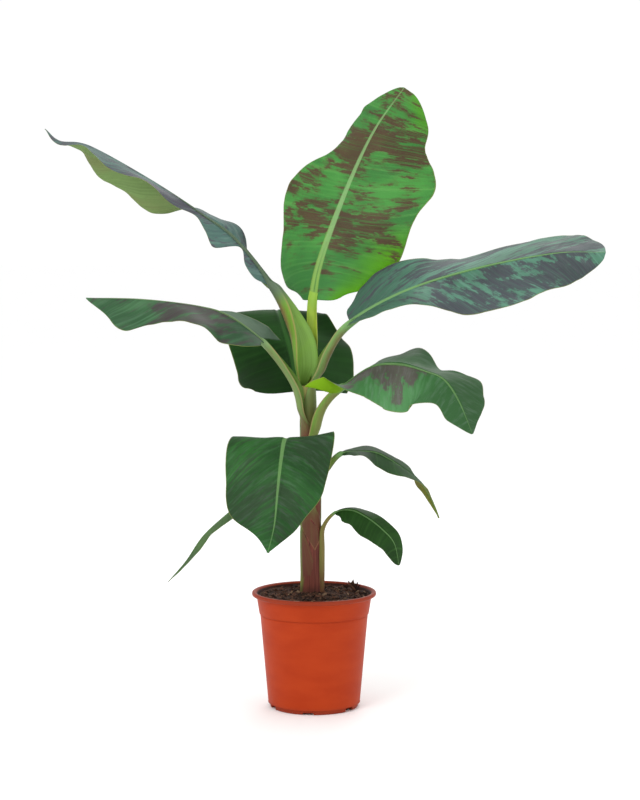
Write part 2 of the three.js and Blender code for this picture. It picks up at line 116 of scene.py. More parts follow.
LEAVES["right"] = dict(
    line=[(-6, -4, 538), (22, -16, 603), (60, -32, 651), (145, -55, 701), (257, -80, 740),
          (387, -108, 766), (469, -124, 768)],
    stalk_points=2, facing=-14, stalk_width=[13, 13, 10, 9],
    tip=(0.75, 0.4), sweep=(-0.15, 0.3), wave=(4, 160, 0.4),
    left=dict(
        width=[46, 85, 90, 97, 86, 84, 101, 92, 88],
        rib=[45, 38, 18, 20, 15],
        margin=[35, 30, 12, 20, 10],
    ),
    right=dict(
        width=[46, 85, 92, 97, 88, 95, 80, 72, 64],
        rib=[-10, -12, -40, -40, -30],
        margin=[-15, -15, -60, -55, -40],
    ),
)
print("highest leaves:", ", ".join(LEAVES))

# %% Three leaves half way up
LEAVES["left"] = dict(
    line=[(-17, -14, 470), (-23, -18, 528), (-42, -20, 567), (-85, -22, 620), (-138, -34, 662),
          (-188, -47, 679), (-277, -72, 691), (-370, -95, 694)],
    stalk_points=3, facing=192, stalk_width=[9, 11, 9, 8],
    tip=(0.75, 0.6), sweep=(-0.4, 0.3), wave=(4, 120, 0.4),
    left=dict(
        width=[25, 73, 80, 95, 66, 66, 90, 60, 40],
        rib=[-10, -25, -15, -30, -20],
        margin=[-20, -40, -25, -45, -30],
    ),
    right=dict(
        width=[92, 92, 88, 85, 80, 75, 60, 50, 30],
        rib=[15, 0, -5, -10, -10],
        margin=[30, 0, -15, -20, -10],
    ),
)
LEAVES["back"] = dict(
    line=[(-14, 12, 488), (-19, 22, 508), (-26, 34, 532), (-38, 75, 588), (-52, 115, 634),
          (-64, 165, 664), (-72, 230, 654), (-77, 290, 615), (-80, 330, 564)],
    stalk_points=2, facing=98, stalk_width=[8, 9, 8],
    tip=(0.7, 0.7), sweep=(-0.08, 0.3), wave=(5, 120, 0.4),
    left=dict(
        width=[74, 99, 104, 99, 86, 66, 53, 40, 24],
        rib=[6, -8, -12, -8, 0, 0, 0, 0, 0],
        margin=[-8, -38, -45, -30, -8, -20, -30, -30, -20],
    ),
    right=dict(
        width=[96, 118, 118, 92, 74, 62, 53, 40, 24],
        rib=[0, -8, -10, -12, 0, 0, 0, 0, 0],
        margin=[-36, -36, -22, -18, -8, -20, -30, -30, -20],
    ),
)
LEAVES["right_mid"] = dict(
    line=[(-4, -12, 440), (6, -20, 492), (22, -26, 522), (48, -35, 546), (96, -60, 581), (141, -85, 586),
          (182, -110, 576), (211, -130, 563), (234, -145, 528), (254, -157, 478)],
    stalk_points=3, facing=-30, stalk_width=[9, 11, 9, 8],
    tip=(0.75, 0.6), sweep=(-0.6, 0.3), wave=(4, 120, 0.4),
    left=dict(
        width=[40, 60, 80, 82, 60, 92, 72, 52, 32],
        rib=[10, 10, 6, 16, 0, 0, 8, 8, 0],
        margin=[10, 10, 8, 20, -6, 0, 10, 10, 0],
    ),
    right=dict(
        width=[78, 66, 80, 90, 85, 75, 42, 38, 30],
        rib=[-45, -20, -38, -44, -40, -38, -32, -26, -20],
        margin=[85, -26, -52, -60, -55, -50, -42, -32, -20],
    ),
)
print("leaves so far:", ", ".join(LEAVES))

# %% The four low leaves
LEAVES["front"] = dict(
    line=[(-6, -8, 330), (-12, -30, 385), (-25, -60, 425), (-34, -85, 450), (-46, -120, 468),
          (-52, -165, 440), (-57, -200, 393), (-62, -220, 340), (-72, -228, 297)],
    stalk_points=2, facing=258, stalk_width=[9, 9, 8],
    tip=(0.55, 0.85), sweep=(-0.3, 0.3), wave=(2, 120, 0.4),
    left=dict(
        width=[40, 50, 81, 80, 76, 70, 56, 48, 40],
        rib=[0, 0, 0, 0, 0],
        margin=[0, 10, -20, -20, 0],
    ),
    right=dict(
        width=[40, 60, 88, 94, 92, 90, 88, 76, 50],
        rib=[0, 0, 0, 0, 0],
        margin=[0, 0, -20, -20, 0],
    ),
)
LEAVES["lower_right"] = dict(
    line=[(5, 2, 370), (23, 5, 406), (45, 10, 429), (73, 18, 432), (108, 26, 428), (146, 34, 405),
          (179, 40, 380), (198, 44, 352), (214, 46, 314)],
    stalk_points=2, facing=11, stalk_width=[7, 7, 6],
    tip=(0.6, 0.7), sweep=(-0.2, 0.3), wave=(2, 80, 0.4),
    left=dict(
        width=[16, 30, 40, 38, 36, 30, 13, 10, 8],
        rib=[0, 0, 6, 14, 15, 10, -25, -75, -80],
        margin=[0, 0, 6, 16, 15, 5, -45, -85, -85],
    ),
    right=dict(
        width=[16, 30, 40, 40, 36, 32, 26, 20, 14],
        rib=[-20, -5, -25, -30, -15, -10, -5, -5, 0],
        margin=[-30, -10, -40, -40, -25, -15, -5, -5, 0],
    ),
)
LEAVES["small_right"] = dict(
    line=[(13, -6, 197.5), (13, -8, 267), (15, -10, 306), (35, -14, 332), (62, -18, 337), (89, -24, 325),
          (114, -30, 306), (134, -35, 283), (142, -38, 246)],
    stalk_points=3, facing=-12, stalk_width=[5, 6, 6, 5, 4],
    tip=(0.78, 0.5), sweep=(-0.2, 0.3), wave=(1, 60, 0.4),
    left=dict(
        width=[12, 22, 28, 26, 26, 24, 18, 16, 14],
        rib=[0, 10, 20, 30, 30],
        margin=[-10, 0, 20, 30, 20],
    ),
    right=dict(
        width=[14, 28, 28, 34, 32, 28, 24, 20, 18],
        rib=[-30, -45, -45, -40, -30],
        margin=[-50, -65, -65, -60, -50],
    ),
)
LEAVES["lower_left"] = dict(
    line=[(-12, 0, 300), (-45, 2, 345), (-78, 4, 359), (-110, 6, 353), (-141, 8, 331), (-188, 10, 288),
          (-218, 12, 244), (-248, 14, 209)],
    stalk_points=2, facing=177, stalk_width=[7, 7, 6],
    tip=(0.6, 0.7), sweep=(-0.2, 0.3), wave=(2, 80, 0.4),
    left=dict(
        width=[12, 22, 26, 28, 26, 24, 20, 16, 12],
        rib=[-20, -20, -20, -20, -10],
        margin=[-30, -25, -22, -20, -10],
    ),
    right=dict(
        width=[12, 22, 26, 28, 26, 24, 20, 16, 12],
        rib=[-5, -5, -5, -5, -5],
        margin=[-15, -12, -10, -10, -5],
    ),
)
print("all the leaves:", ", ".join(LEAVES))

# %% [markdown]
# ## Smooth lines and smooth lists
#
# A grower would draw each midrib with a bendy ruler through a few dots. Blender's own curve objects do
# that, and they can be turned into a mesh. The curve is worked out here instead, because the same sum also
# smooths the lists of widths and angles, so that a blade swells and narrows without corners.

# %% A smooth curve through evenly spaced values
def smooth(values, t):
    """Value at share t along a list. Between two entries b and c, with neighbours a and d, it is half of
    2b + (c - a)u + (2a - 5b + 4c - d)u^2 + (3b - a - 3c + d)u^3, and the ends carry straight on."""
    v = np.asarray(values, float)
    steps = len(v) - 1
    place = np.clip(t, 0, 1) * steps
    i = np.minimum(place.astype(int), steps - 1)
    u = place - i
    v = np.concatenate([2 * v[:1] - v[1:2], v, 2 * v[-1:] - v[-2:-1]])
    a, b, c, d = v[i], v[i + 1], v[i + 2], v[i + 3]
    u = u.reshape(u.shape + (1,) * (v.ndim - 1))
    return 0.5 * (2 * b + (c - a) * u + (2 * a - 5 * b + 4 * c - d) * u**2 + (3 * b - a - 3 * c + d) * u**3)


def ease(x, start, end):
    """0 before start, 1 after end, and 3s^2 - 2s^3 of the share s between them."""
    s = np.clip((x - start) / (end - start), 0, 1)
    return s * s * (3 - 2 * s)


def unit(vectors):
    """Vectors divided by their length."""
    return vectors / np.linalg.norm(vectors, axis=-1, keepdims=True)


print("half way along 0, 1, 4:", float(smooth([0, 1, 4], np.array(0.5))))

# %% A line through points, measured by its length
SPAN = 60  # samples between two points
REACH = 3  # samples to each side of a place that its direction is taken over


class Line:
    """A smooth line. A place on it is named by the length of line before it, in millimetres."""

    def __init__(self, points):
        self.dots = smooth(points, np.linspace(0, 1, SPAN * (len(points) - 1) + 1))
        steps = np.linalg.norm(np.diff(self.dots, axis=0), axis=1)
        self.lengths = np.concatenate([[0], np.cumsum(steps)])
        self.length = self.lengths[-1]

    def at(self, length):
        """Place and direction at each length, carried straight on past the ends."""
        i = np.clip(np.searchsorted(self.lengths, length, side="right") - 1, 0, len(self.dots) - 2)
        share = (length - self.lengths[i]) / (self.lengths[i + 1] - self.lengths[i])
        place = self.dots[i] + (self.dots[i + 1] - self.dots[i]) * share[..., None]
        before = self.dots[np.maximum(i - REACH, 0)]
        after = self.dots[np.minimum(i + 1 + REACH, len(self.dots) - 1)]
        return place, unit(after - before)


print("length of the stem:", round(Line(STEM_LINE).length), "mm")

# %% [markdown]
# ## The shape of a leaf
#
# A blade is a sheet that hangs from its midrib. It could be sculpted, or a flat leaf could be bent with a
# Curve modifier, which stretches it wherever it turns. Here each half is bent evenly, from one angle at the
# rib to another at the margin. Its section is then an arc whose length is the half's true width, so the
# sheet keeps its size however far it droops. The side veins lean forward as they run out, and the margin
# ripples.

# %% The leaf's surface
CORNER = 14  # mm by which the blade's two bottom corners are rounded off
NARROWEST = 2.2  # mm, the width of a half at the very tip
FLATTEST = 1e-4  # radians, the least bend, so that a flat half has an arc too
LEFT_AHEAD = 0.35  # turns by which the left margin's ripple is ahead of the right one's
FULL_RIPPLE = 40  # mm, the width from which a half ripples at its full height


class Leaf:
    """A leaf's line with the lists that shape its two halves."""

    def __init__(self, name, form):
        self.name = name
        self.__dict__.update(form)
        self.path = Line(self.line)
        self.start = self.path.lengths[SPAN * self.stalk_points]
        self.blade = self.path.length - self.start
        bearing = math.radians(self.facing)
        self.outward = np.array([math.cos(bearing), math.sin(bearing), 0.0])

    def frame(self, length):
        """Place, share of the blade, right-hand direction and upward normal at lengths along the line.
        Right is level and square to the line: the outward bearing crossed with straight up."""
        place, along = self.path.at(length)
        share = (length - self.start) / self.blade
        level = np.cross(self.outward, [0, 0, 1]) * np.ones_like(along)
        right = unit(level - along * (level * along).sum(-1, keepdims=True))
        return place, share, right, np.cross(right, along)

    def width(self, t, side):
        """Width of a half at share t: its list, closed to the tip by (1 - s^2)^point past the start."""
        half = self.left if side < 0 else self.right
        start, point = self.tip
        closing = np.maximum((t - start) / (1 - start), 0)
        return np.maximum(smooth(half["width"], t) * np.maximum(1 - closing**2, 0) ** point, NARROWEST)

    def surface(self, length, out, width, side):
        """Middle surface at a length along the line and a share of the half's width. With an angle that
        grows evenly from a to b, the arc runs sideways by w (sin b - sin a)/(b - a) and up by
        w (cos a - cos b)/(b - a), and the ripple adds a sine that grows with the square of the share."""
        place, share, right, normal = self.frame(length)
        half = self.left if side < 0 else self.right
        start = np.radians(smooth(half["rib"], share))
        bend = np.radians(smooth(half["margin"], share)) - start
        bend = np.where(np.abs(bend) < FLATTEST, FLATTEST, bend)
        angle = start + bend * out
        sideways = width / bend * (np.sin(angle) - np.sin(start))
        upwards = width / bend * (np.cos(start) - np.cos(angle))
        height, wavelength, phase = self.wave
        turn = 2 * np.pi * (length / wavelength + phase + (LEFT_AHEAD if side < 0 else 0))
        ripple = height * out**2 * np.minimum(width / FULL_RIPPLE, 1) * np.sin(turn)
        return place + right * (side * sideways)[..., None] + normal * (upwards + ripple)[..., None]

    def sheet(self, t, v):
        """Middle surface on a grid of shares t along the blade and v from -1, the left margin, to 1, the
        right one. A line of equal t is a side vein, which leans forward by the square of v."""
        t, v = np.meshgrid(t, v, indexing="ij")
        out = np.abs(v)
        width = np.where(v < 0, self.width(t, -1), self.width(t, 1))
        lean = self.sweep[0] + (self.sweep[1] - self.sweep[0]) * ease(t, 0, 0.5)
        lean *= 1 - ease(t, 0.8, 1)
        length = self.start + t * self.blade + lean * width * out**2
        length += CORNER * ease(-t, -0.1, 0) * out**4
        left = self.surface(length, out, width, -1)
        right = self.surface(length, out, width, 1)
        return np.where((v < 0)[..., None], left, right), t, v, width


leaves = {name: Leaf(name, form) for name, form in LEAVES.items()}
for leaf in leaves.values():
    print(leaf.name, "stalk", round(leaf.start), "mm, blade", round(leaf.blade), "mm")

# %% [markdown]
# ## From arrays to a mesh
#
# Most pieces of a plant are tubes: a blade is a very flat one, a stalk a grooved one. Bevelled curves or
# the Skin modifier make tubes too, but they don't let each point be placed. So every row of points is
# worked out, and it goes once round the piece, over the top from left to right and back underneath. Rows
# are joined to rows, and the two ends are closed by joining each top point to the one under it, so the
# piece is one closed skin with no poles.

# %% Mesh from rows of points
def put_mesh(name, points, quads, triangles=(), uv=None, values=None):
    """Mesh object from points in millimetres, with a map and named values for them. Faces are turned to
    point outwards: the volume, the sum of a . (b x c) / 6 over the triangles, has to come out positive."""
    quads = np.asarray(quads, int).reshape(-1, 4)
    triangles = np.asarray(triangles, int).reshape(-1, 3)
    loose = np.concatenate([quads[:, :3], quads[:, [0, 2, 3]], triangles])
    a, b, c = (points[loose[:, k]] for k in range(3))
    if (a * np.cross(b, c)).sum() < 0:
        quads = quads[:, ::-1]
        triangles = triangles[:, ::-1]
    corners = np.concatenate([quads.ravel(), triangles.ravel()])
    starts = np.concatenate([4 * np.arange(len(quads)), 4 * len(quads) + 3 * np.arange(len(triangles))])
    mesh = bpy.data.meshes.new(name)
    mesh.vertices.add(len(points))
    mesh.vertices.foreach_set("co", (points * MM).ravel())
    mesh.loops.add(len(corners))
    mesh.loops.foreach_set("vertex_index", corners)
    mesh.polygons.add(len(starts))
    mesh.polygons.foreach_set("loop_start", starts)
    mesh.polygons.foreach_set("use_smooth", np.ones(len(starts), bool))
    if uv is not None:
        layer = mesh.uv_layers.new(name="sheet")
        layer.data.foreach_set("uv", uv[corners].ravel())
    for key, value in (values or {}).items():
        attribute = mesh.attributes.new(key, "FLOAT", "POINT")
        attribute.data.foreach_set("value", np.asarray(value, np.float32).ravel())
    mesh.update(calc_edges=True)
    mesh.validate()
    piece = bpy.data.objects.new(name, mesh)
    bpy.context.scene.collection.objects.link(piece)
    return piece


def tube_faces(rows, around, closed_ends=True):
    """Quads of a tube of rows, each of so many points round. An end joins point j to point -1 - j."""
    i, j = np.meshgrid(np.arange(rows - 1), np.arange(around), indexing="ij")
    a = i * around + j
    b = i * around + (j + 1) % around
    sides = np.stack([a, b, b + around, a + around], -1).reshape(-1, 4)
    if not closed_ends:
        return sides
    j = np.arange(around // 2 - 1)
    cap = np.stack([j, around - 1 - j, around - 2 - j, j + 1], -1)
    return np.concatenate([sides, cap, cap[:, ::-1] + (rows - 1) * around])


def hang(piece, nodes):
    """Every piece rides on the plant's one body and stands for its nodes."""
    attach(piece, "root")
    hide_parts(*nodes)
    return piece


def nodes_of(name, kind):
    """Names of the frame's nodes for a leaf's stalk or blade."""
    return sorted(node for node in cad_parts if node.startswith(f"{name}_{kind}"))


print("top leaf stands for", nodes_of("top", "stalk") + nodes_of("top", "blade"))

# %% [markdown]
# ## Blades
#
# A real blade is under half a millimetre thick and pleated along its side veins. A single sheet with the
# Solidify modifier and a displacement texture would come close. Two skins a little apart are made here
# instead, so that the pleats, the channel over the midrib and the fine crimp of the margin are in the mesh
# itself, and the thickness can fade out towards the margin. Four values go with each point for the
# material: how far out from the rib it lies, which face it is on, and its shares along and across.

# %% Fine relief of a blade
BLADE_HALF = 0.45  # half the thickness
RIB_AT_BASE = 7.4  # half width of the midrib where the blade starts
RIB_AT_TIP = 1.1
CHANNEL_DEPTH, LIP_HEIGHT = 1.8, 0.6  # over the midrib and along its two sides
FINE_PLEATS, BROAD_PLEATS = (6, 0.35), (13, 0.7)  # mm from one to the next, and mm high
SWELLS, CRIMP = (38, 1.7), (16, 1.6)  # the same for the slow swells and the margin's crimp


def rib_half_width(leaf, t):
    """Narrows evenly from the stalk's width to about a millimetre at the tip."""
    base = min(RIB_AT_BASE, 0.85 * leaf.stalk_width[-1])
    return RIB_AT_TIP + (base - RIB_AT_TIP) * (1 - np.clip(t, 0, 1)) ** 1.1


def lumps(x, y, size, seed):
    """Smooth noise between -1 and 1: random values on a lattice of that size, eased in between."""
    table = np.random.default_rng(seed).uniform(-1, 1, (64, 64))
    i, j = np.floor(x / size).astype(int), np.floor(y / size).astype(int)
    u, v = ease(x / size - i, 0, 1), ease(y / size - j, 0, 1)
    at = lambda a, b: table[a % 64, b % 64]
    low = at(i, j) * (1 - u) + at(i + 1, j) * u
    high = at(i, j + 1) * (1 - u) + at(i + 1, j + 1) * u
    return low * (1 - v) + high * v


def relief(leaf, t, v, width, seed):
    """Height over the middle surface: a channel along the rib with a lip on each side, two sizes of uneven
    pleats that run out along the side veins, slow swells between them, and a soft crimp at the margin."""
    out = np.abs(v)
    along, across = t * leaf.blade, v * width
    from_rib = across / rib_half_width(leaf, t)
    channel = -CHANNEL_DEPTH * np.exp(-(from_rib**2) / 0.8) * (1 - 0.7 * t)
    lips = LIP_HEIGHT * np.exp(-((np.abs(from_rib) - 1.25) ** 2) / 0.18)
    pleats = FINE_PLEATS[1] * lumps(along, across / 7, FINE_PLEATS[0], seed)
    pleats = pleats + BROAD_PLEATS[1] * lumps(along, across / 5, BROAD_PLEATS[0], seed + 1)
    pleats = pleats * ease(np.abs(from_rib), 1.1, 2.5) * (1 - 0.5 * out)
    swell = SWELLS[1] * lumps(along, across, SWELLS[0], seed + 2) * ease(out, 0, 0.4)
    crimp = CRIMP[1] * lumps(along, 40 * np.sign(v), CRIMP[0], seed + 3) * out**5
    near_end = ease(t, 0, 0.14) * ease(1 - t, 0, 0.06) * np.minimum(width / 50, 1)
    return (channel + lips) * ease(1 - t, 0, 0.15) + (pleats + swell + crimp) * near_end


print("midrib of the top leaf:", round(2 * float(rib_half_width(leaves["top"], 0)), 1), "mm wide at its base")

# %% Blades as two skins
ROW_STEP = 2.2  # mm along the rib, so a fine pleat has about three rows
SHARES = np.concatenate([np.linspace(0, 0.11, 8)[:-1], np.linspace(0.11, 1, 24)])  # closer over the rib


def blade_piece(leaf, seed):
    """Rows of points: the upper skin from left to right margin, then the lower one back. Each skin is the
    middle surface moved along its normal, which is the cross product of the grid's two directions."""
    t = np.linspace(0, 1, int(leaf.blade / ROW_STEP))
    v = np.concatenate([-SHARES[:0:-1], SHARES])
    middle, t, v, width = leaf.sheet(t, v)
    normal = unit(np.cross(np.gradient(middle, axis=1), np.gradient(middle, axis=0)))
    middle = middle + normal * relief(leaf, t, v, width, seed)[..., None]
    normal = unit(np.cross(np.gradient(middle, axis=1), np.gradient(middle, axis=0)))
    half = BLADE_HALF * (1 - 0.6 * np.abs(v) ** 3)
    upper = middle + normal * half[..., None]
    lower = middle - normal * half[..., None]
    across = v.shape[1]
    points = np.concatenate([upper, lower[:, ::-1]], 1).reshape(-1, 3)
    both = lambda grid: np.concatenate([grid, grid[:, ::-1]], 1).ravel()
    uv = np.stack([both(t * leaf.blade) * MM, 0.5 + both(v * width) * MM], -1)
    values = {
        "rib": both(np.abs(v) * width / rib_half_width(leaf, t)),
        "under": np.concatenate([np.zeros_like(v), np.ones_like(v)], 1).ravel(),
        "along": both(t),
        "across": both(v),
    }
    piece = put_mesh(f"{leaf.name}_leaf", points, tube_faces(len(v), 2 * across), uv=uv, values=values)
    return hang(piece, nodes_of(leaf.name, "blade"))


blades = {}
for number, leaf in enumerate(leaves.values()):
    blades[leaf.name] = blade_piece(leaf, seed=10 * number)
print("blades:", len(blades), "with", sum(len(piece.data.polygons) for piece in blades.values()), "faces")

# %% [markdown]
# ## Stalks and sheaths
#
# Below its blade a leaf is a gutter: a round back, a groove on top and two thin rims. It goes on under the
# blade as the keel of the midrib, and downwards it opens into a sheath that is wrapped round the stem. A
# curve with a bevel profile makes a gutter quickly, but its profile is the same from end to end. So one
# row of sections is carried from the sheath to the very tip, and its shape changes on the way.

# %% The section of a stalk, and how it lies on the stem
STALK_HALF = [(0, 0.08), (0.3, 0.1), (0.58, 0.22), (0.8, 0.4), (0.94, 0.49), (1, 0.4),
              (0.99, 0.12), (0.9, -0.22), (0.68, -0.55), (0.36, -0.78), (0, -0.86)]
TO_RIM = 0.47  # share of the half section from the middle of the groove, or of the back, to the rim
AROUND_STALK = 20  # points on the groove's side, and as many on the back
SHEATH_SPREAD = (38, 165)  # degrees to each side that a sheath reaches round the stem, at its top and foot
SHEATH_LENGTH = 95
LOWEST_SHEATH = 205  # mm, no sheath ends below this height, just over the soil
OWN_FOOT = 250  # mm, a stalk that starts lower than this comes out of the soil by itself
BURIED = 8  # mm that such a stalk goes on below its first point
WRAP_END = 42  # mm up the stalk where it has left the stem
SHEATH_RIM, SHEATH_MIDDLE = 0.5, 1.9  # mm over the stem at its rims, and how much more in its middle
SHEATH_SINK = 1.6  # mm that its foot sinks in
ROW_APART = 2.5  # mm between rows, as far as UNDER_BLADE
UNDER_BLADE = 30  # mm, and from there to just short of the tip there are KEEL_ROWS
KEEL_ROWS, SHORT_OF_TIP = 90, 1.5

FRONT = math.radians(-84)  # bearing of the stem's reddest side
STALK_TURN = {"upper_left": 55, "left": 28, "right": -34, "right_mid": -12}  # degrees, groove to the front
SHEATH_BEARING = {"upper_left": 152}  # where a sheath doesn't lie straight below its stalk

stem_path = Line(STEM_LINE)


def stem_centre(height):
    """Centre line and radius of the stem at a height."""
    share = (height - STEM_LINE[0][2]) / (STEM_LINE[-1][2] - STEM_LINE[0][2])
    place, _ = stem_path.at(share * stem_path.length)
    return place, smooth(STEM_RADII, share)


def gutter(u, on_back):
    """A stalk's section in half widths, at u from -1 to 1 across it, on its groove or on its back."""
    place = np.where(on_back, 1 - TO_RIM * np.abs(u), TO_RIM * np.abs(u))
    section = smooth(STALK_HALF, place)
    return np.sign(u) * section[..., 0], section[..., 1]


print("stem at 300 mm:", round(2 * float(stem_centre(300.0)[1])), "mm thick")

# %% The sheath, wrapped round the stem
def sheath_bearing(leaf):
    """Bearing of the stalk's lower part as seen from the stem's centre, in radians."""
    if leaf.name in SHEATH_BEARING:
        return math.radians(SHEATH_BEARING[leaf.name])
    near, _ = leaf.path.at(np.array(40.0))
    axis, _ = stem_centre(near[2])
    return math.atan2(near[1] - axis[1], near[0] - axis[0])


def sheath(leaf, length, height, u, on_back, seed):
    """Stem's centre + (R + h) (cos b, sin b), where b swings from the leaf's own bearing by u times the
    spread. The sheath is thickest in its middle, sinks in at its foot, and its rims flare a little."""
    centre, radius = stem_centre(height)
    top, foot = SHEATH_SPREAD
    spread = top + (foot - top) * ease(-length, -WRAP_END, SHEATH_LENGTH)
    angle = sheath_bearing(leaf) - u * np.radians(spread)
    sunk = SHEATH_SINK * ease(-length, 40, SHEATH_LENGTH)
    thinned = 1 - 0.75 * ease(-length, 0, 60)
    skin = np.where(on_back, SHEATH_RIM + SHEATH_MIDDLE * (1 - np.abs(u) ** 3) * thinned, -1.0)
    flare = 0.5 * ease(np.abs(u), 0.86, 1) * np.sin(length / 6 + seed)
    ring = radius + skin + flare - sunk
    x, y = centre[..., 0] + ring * np.cos(angle), centre[..., 1] + ring * np.sin(angle)
    return np.stack([x, y, height], -1), angle


print("bearing of the top sheath:", round(math.degrees(sheath_bearing(leaves["top"]))), "degrees")

# %% Stalks from sheath to tip
def stalk_skin(leaf, length, u, on_back, seed):
    """Centre + right w x + normal w z. Under the blade, the section's top is pressed just below it and
    follows the channel, and its back goes on as the keel of the midrib."""
    place, share, right, normal = leaf.frame(length)
    turn = np.radians(STALK_TURN.get(leaf.name, 0)) * (1 - ease(share, -0.3, 0))[..., None]
    right, normal = (right * np.cos(turn) + normal * np.sin(turn),
                     normal * np.cos(turn) - right * np.sin(turn))
    x, z = gutter(u, on_back)
    half = smooth(leaf.stalk_width, length / leaf.start)
    rib, rib_at_base = rib_half_width(leaf, share), rib_half_width(leaf, 0)
    half = np.where(share > 0, rib + (half - rib_at_base) * (1 - ease(share, 0, 0.1)), half)
    keel = ease(share, 0, 0.05)
    under_blade = -0.5 - 1.5 * np.exp(-(x**2) / 0.8) * (1 - 0.7 * share)
    top = half * z * (1 - keel) + under_blade * keel
    z = np.where(on_back, half * np.minimum(z, 0.25 * (1 - keel)), top)
    points = place + right * (half * x)[..., None] + normal * z[..., None]
    streaks = 0.12 * np.sin(9 * u + seed) * (1 - keel) * on_back
    return points - normal * streaks[..., None], place[..., 2], share


def stalk_piece(leaf, seed):
    """The stalk's own points and the sheath's, blended over the stretch where the stalk leaves the stem."""
    first = leaf.line[0][2]
    wraps = first > OWN_FOOT
    foot = -min(SHEATH_LENGTH, first - LOWEST_SHEATH) if wraps else -BURIED
    length = np.concatenate([
        np.arange(foot, leaf.start + UNDER_BLADE, ROW_APART),
        np.linspace(leaf.start + UNDER_BLADE, leaf.path.length - SHORT_OF_TIP, KEEL_ROWS),
    ])
    u = np.linspace(-1, 1, AROUND_STALK)
    u = np.concatenate([u, u[::-1]])
    on_back = np.arange(len(u)) >= AROUND_STALK
    length, u = np.meshgrid(length, u, indexing="ij")
    on_back = np.broadcast_to(on_back, u.shape)
    points, level, share = stalk_skin(leaf, length, u, on_back, seed)
    seen = np.ones_like(u)
    if wraps:
        height = np.where(length < 0, first + length, level)
        wrapped, angle = sheath(leaf, length, height, u, on_back, seed)
        held = (1 - ease(length, -5, WRAP_END))[..., None]
        points = points * (1 - held) + wrapped * held
        seen = np.cos(angle - FRONT)
    values = {"up": length * MM, "along": share, "across": u, "back": on_back.astype(float), "front": seen}
    uv = np.stack([length.ravel() * MM, 0.5 + 0.5 * u.ravel() * np.where(on_back.ravel(), 1, 0.5)], -1)
    faces = tube_faces(*u.shape)
    piece = put_mesh(f"{leaf.name}_petiole", points.reshape(-1, 3), faces, uv=uv, values=values)
    return hang(piece, nodes_of(leaf.name, "stalk"))


stalks = {}
for number, leaf in enumerate(leaves.values()):
    stalks[leaf.name] = stalk_piece(leaf, seed=2.1 * number)
print("stalks:", len(stalks), "with", sum(len(piece.data.polygons) for piece in stalks.values()), "faces")

# %% [markdown]
# ## The false stem
#
# The column under the sheaths is made of older sheaths, each wrapped round the last, and their margins
# cross it as slanting steps. They could be rolled sheets, one inside the other, but nearly all of each
# would be hidden. So the column is one tube, whose radius is raised below each margin and falls back over
# the next few centimetres.

# %% The stem's column
OLD_SHEATHS = [  # height of the margin's highest point, bearing in degrees, height of its step in mm
    (452, -75, 1.0), (418, -40, 1.0), (388, 70, 1.2), (366, 200, 1.0), (345, 110, 1.1), (338, -140, 1.2),
]
MARGIN_FALL = 75  # mm by which a margin is lower on the far side of the stem
STEP_FADE = 40  # mm below its margin, where a step has lost two thirds of its height
STEM_BURIED = 8  # mm that the column goes on below its line's first point


def stem_piece(rows=260, around=96):
    """Radius R(z) (1 + small waves) + sum of step e^(-d / fade) over the old sheaths, where d is the depth
    below the margin z0 - fall (|angle from its bearing| / half a turn)^1.3."""
    height = np.linspace(STEM_LINE[0][2] - STEM_BURIED, STEM_LINE[-1][2] - 1, rows)
    turn = np.concatenate([np.linspace(np.pi, 0, around // 2), np.linspace(0, -np.pi, around // 2 + 2)[1:-1]])
    height, turn = np.meshgrid(height, turn, indexing="ij")
    centre, radius = stem_centre(height)
    waves = 0.012 * np.sin(2 * turn + height / 90) + 0.006 * np.sin(7 * turn + height / 60)
    radius = radius * (1 + waves) - 0.6
    line = np.zeros_like(radius)
    for top, bearing, step in OLD_SHEATHS:
        swing = np.abs((turn - np.radians(bearing) + np.pi) % (2 * np.pi) - np.pi) / np.pi
        depth = top - MARGIN_FALL * swing**1.3 - height
        radius += step * ease(depth, 0, 1.6) * np.exp(-np.maximum(depth, 0) / STEP_FADE)
        line = np.maximum(line, ease(depth, -0.6, 0.4) * (1 - ease(depth, 1.2, 3)))
    x, y = centre[..., 0] + radius * np.cos(turn), centre[..., 1] + radius * np.sin(turn)
    points = np.stack([x, y, height], -1).reshape(-1, 3)
    uv = np.stack([(turn / (2 * np.pi) + 0.5).ravel(), height.ravel() * MM], -1)
    values = {"margin": line, "front": np.cos(turn - FRONT)}
    piece = put_mesh("false_stem", points, tube_faces(*turn.shape), uv=uv, values=values)
    return hang(piece, ["stem"])


false_stem = stem_piece()
print("stem:", len(false_stem.data.polygons), "faces")

# %% [markdown]
# ## Soil
#
# Potting soil is a crumbly mound with bits of bark on it. A sculpted mound would do, with a particle system
# for the bits. Here the ground is a height worked out over a disc, from a dome and three sizes of lumps, so
# that each bit of bark can be set on it by the same sum. A square grid is rounded into the disc, so it has
# no pole in its middle.

# %% The mound
rng = np.random.default_rng(41)


def wall_radius(height):
    """Outside of the pot: a straight taper up to the step, and a collar that flares straight above it."""
    step = POT["step_height"]
    heights = [POT["foot_height"], step - 2, step + 1, POT["height"]]
    below_step = POT["step_radius"] - POT["step_inset"]
    radii = [POT["floor_radius"], below_step, POT["step_radius"], POT["collar_radius"]]
    return np.interp(height, heights, radii)


SOIL_RADIUS = float(wall_radius(SOIL["edge_height"])) - POT["wall"] - SOIL["gap_to_wall"]


def ground(x, y):
    """Height of the soil: from the crown down to the edge, plus lumps of 26, 9 and 3.5 mm."""
    share = np.hypot(x, y) / SOIL_RADIUS
    dome = SOIL["crown_height"] + (SOIL["edge_height"] - SOIL["crown_height"]) * ease(share, 0.25, 1)
    rough = 1.5 * lumps(x, y, 26, 1) + 1.3 * lumps(x, y, 9, 2) + 0.9 * lumps(x, y, 3.5, 3)
    return dome + rough * (1 - 0.6 * ease(share, 0.9, 1)) - 1.2


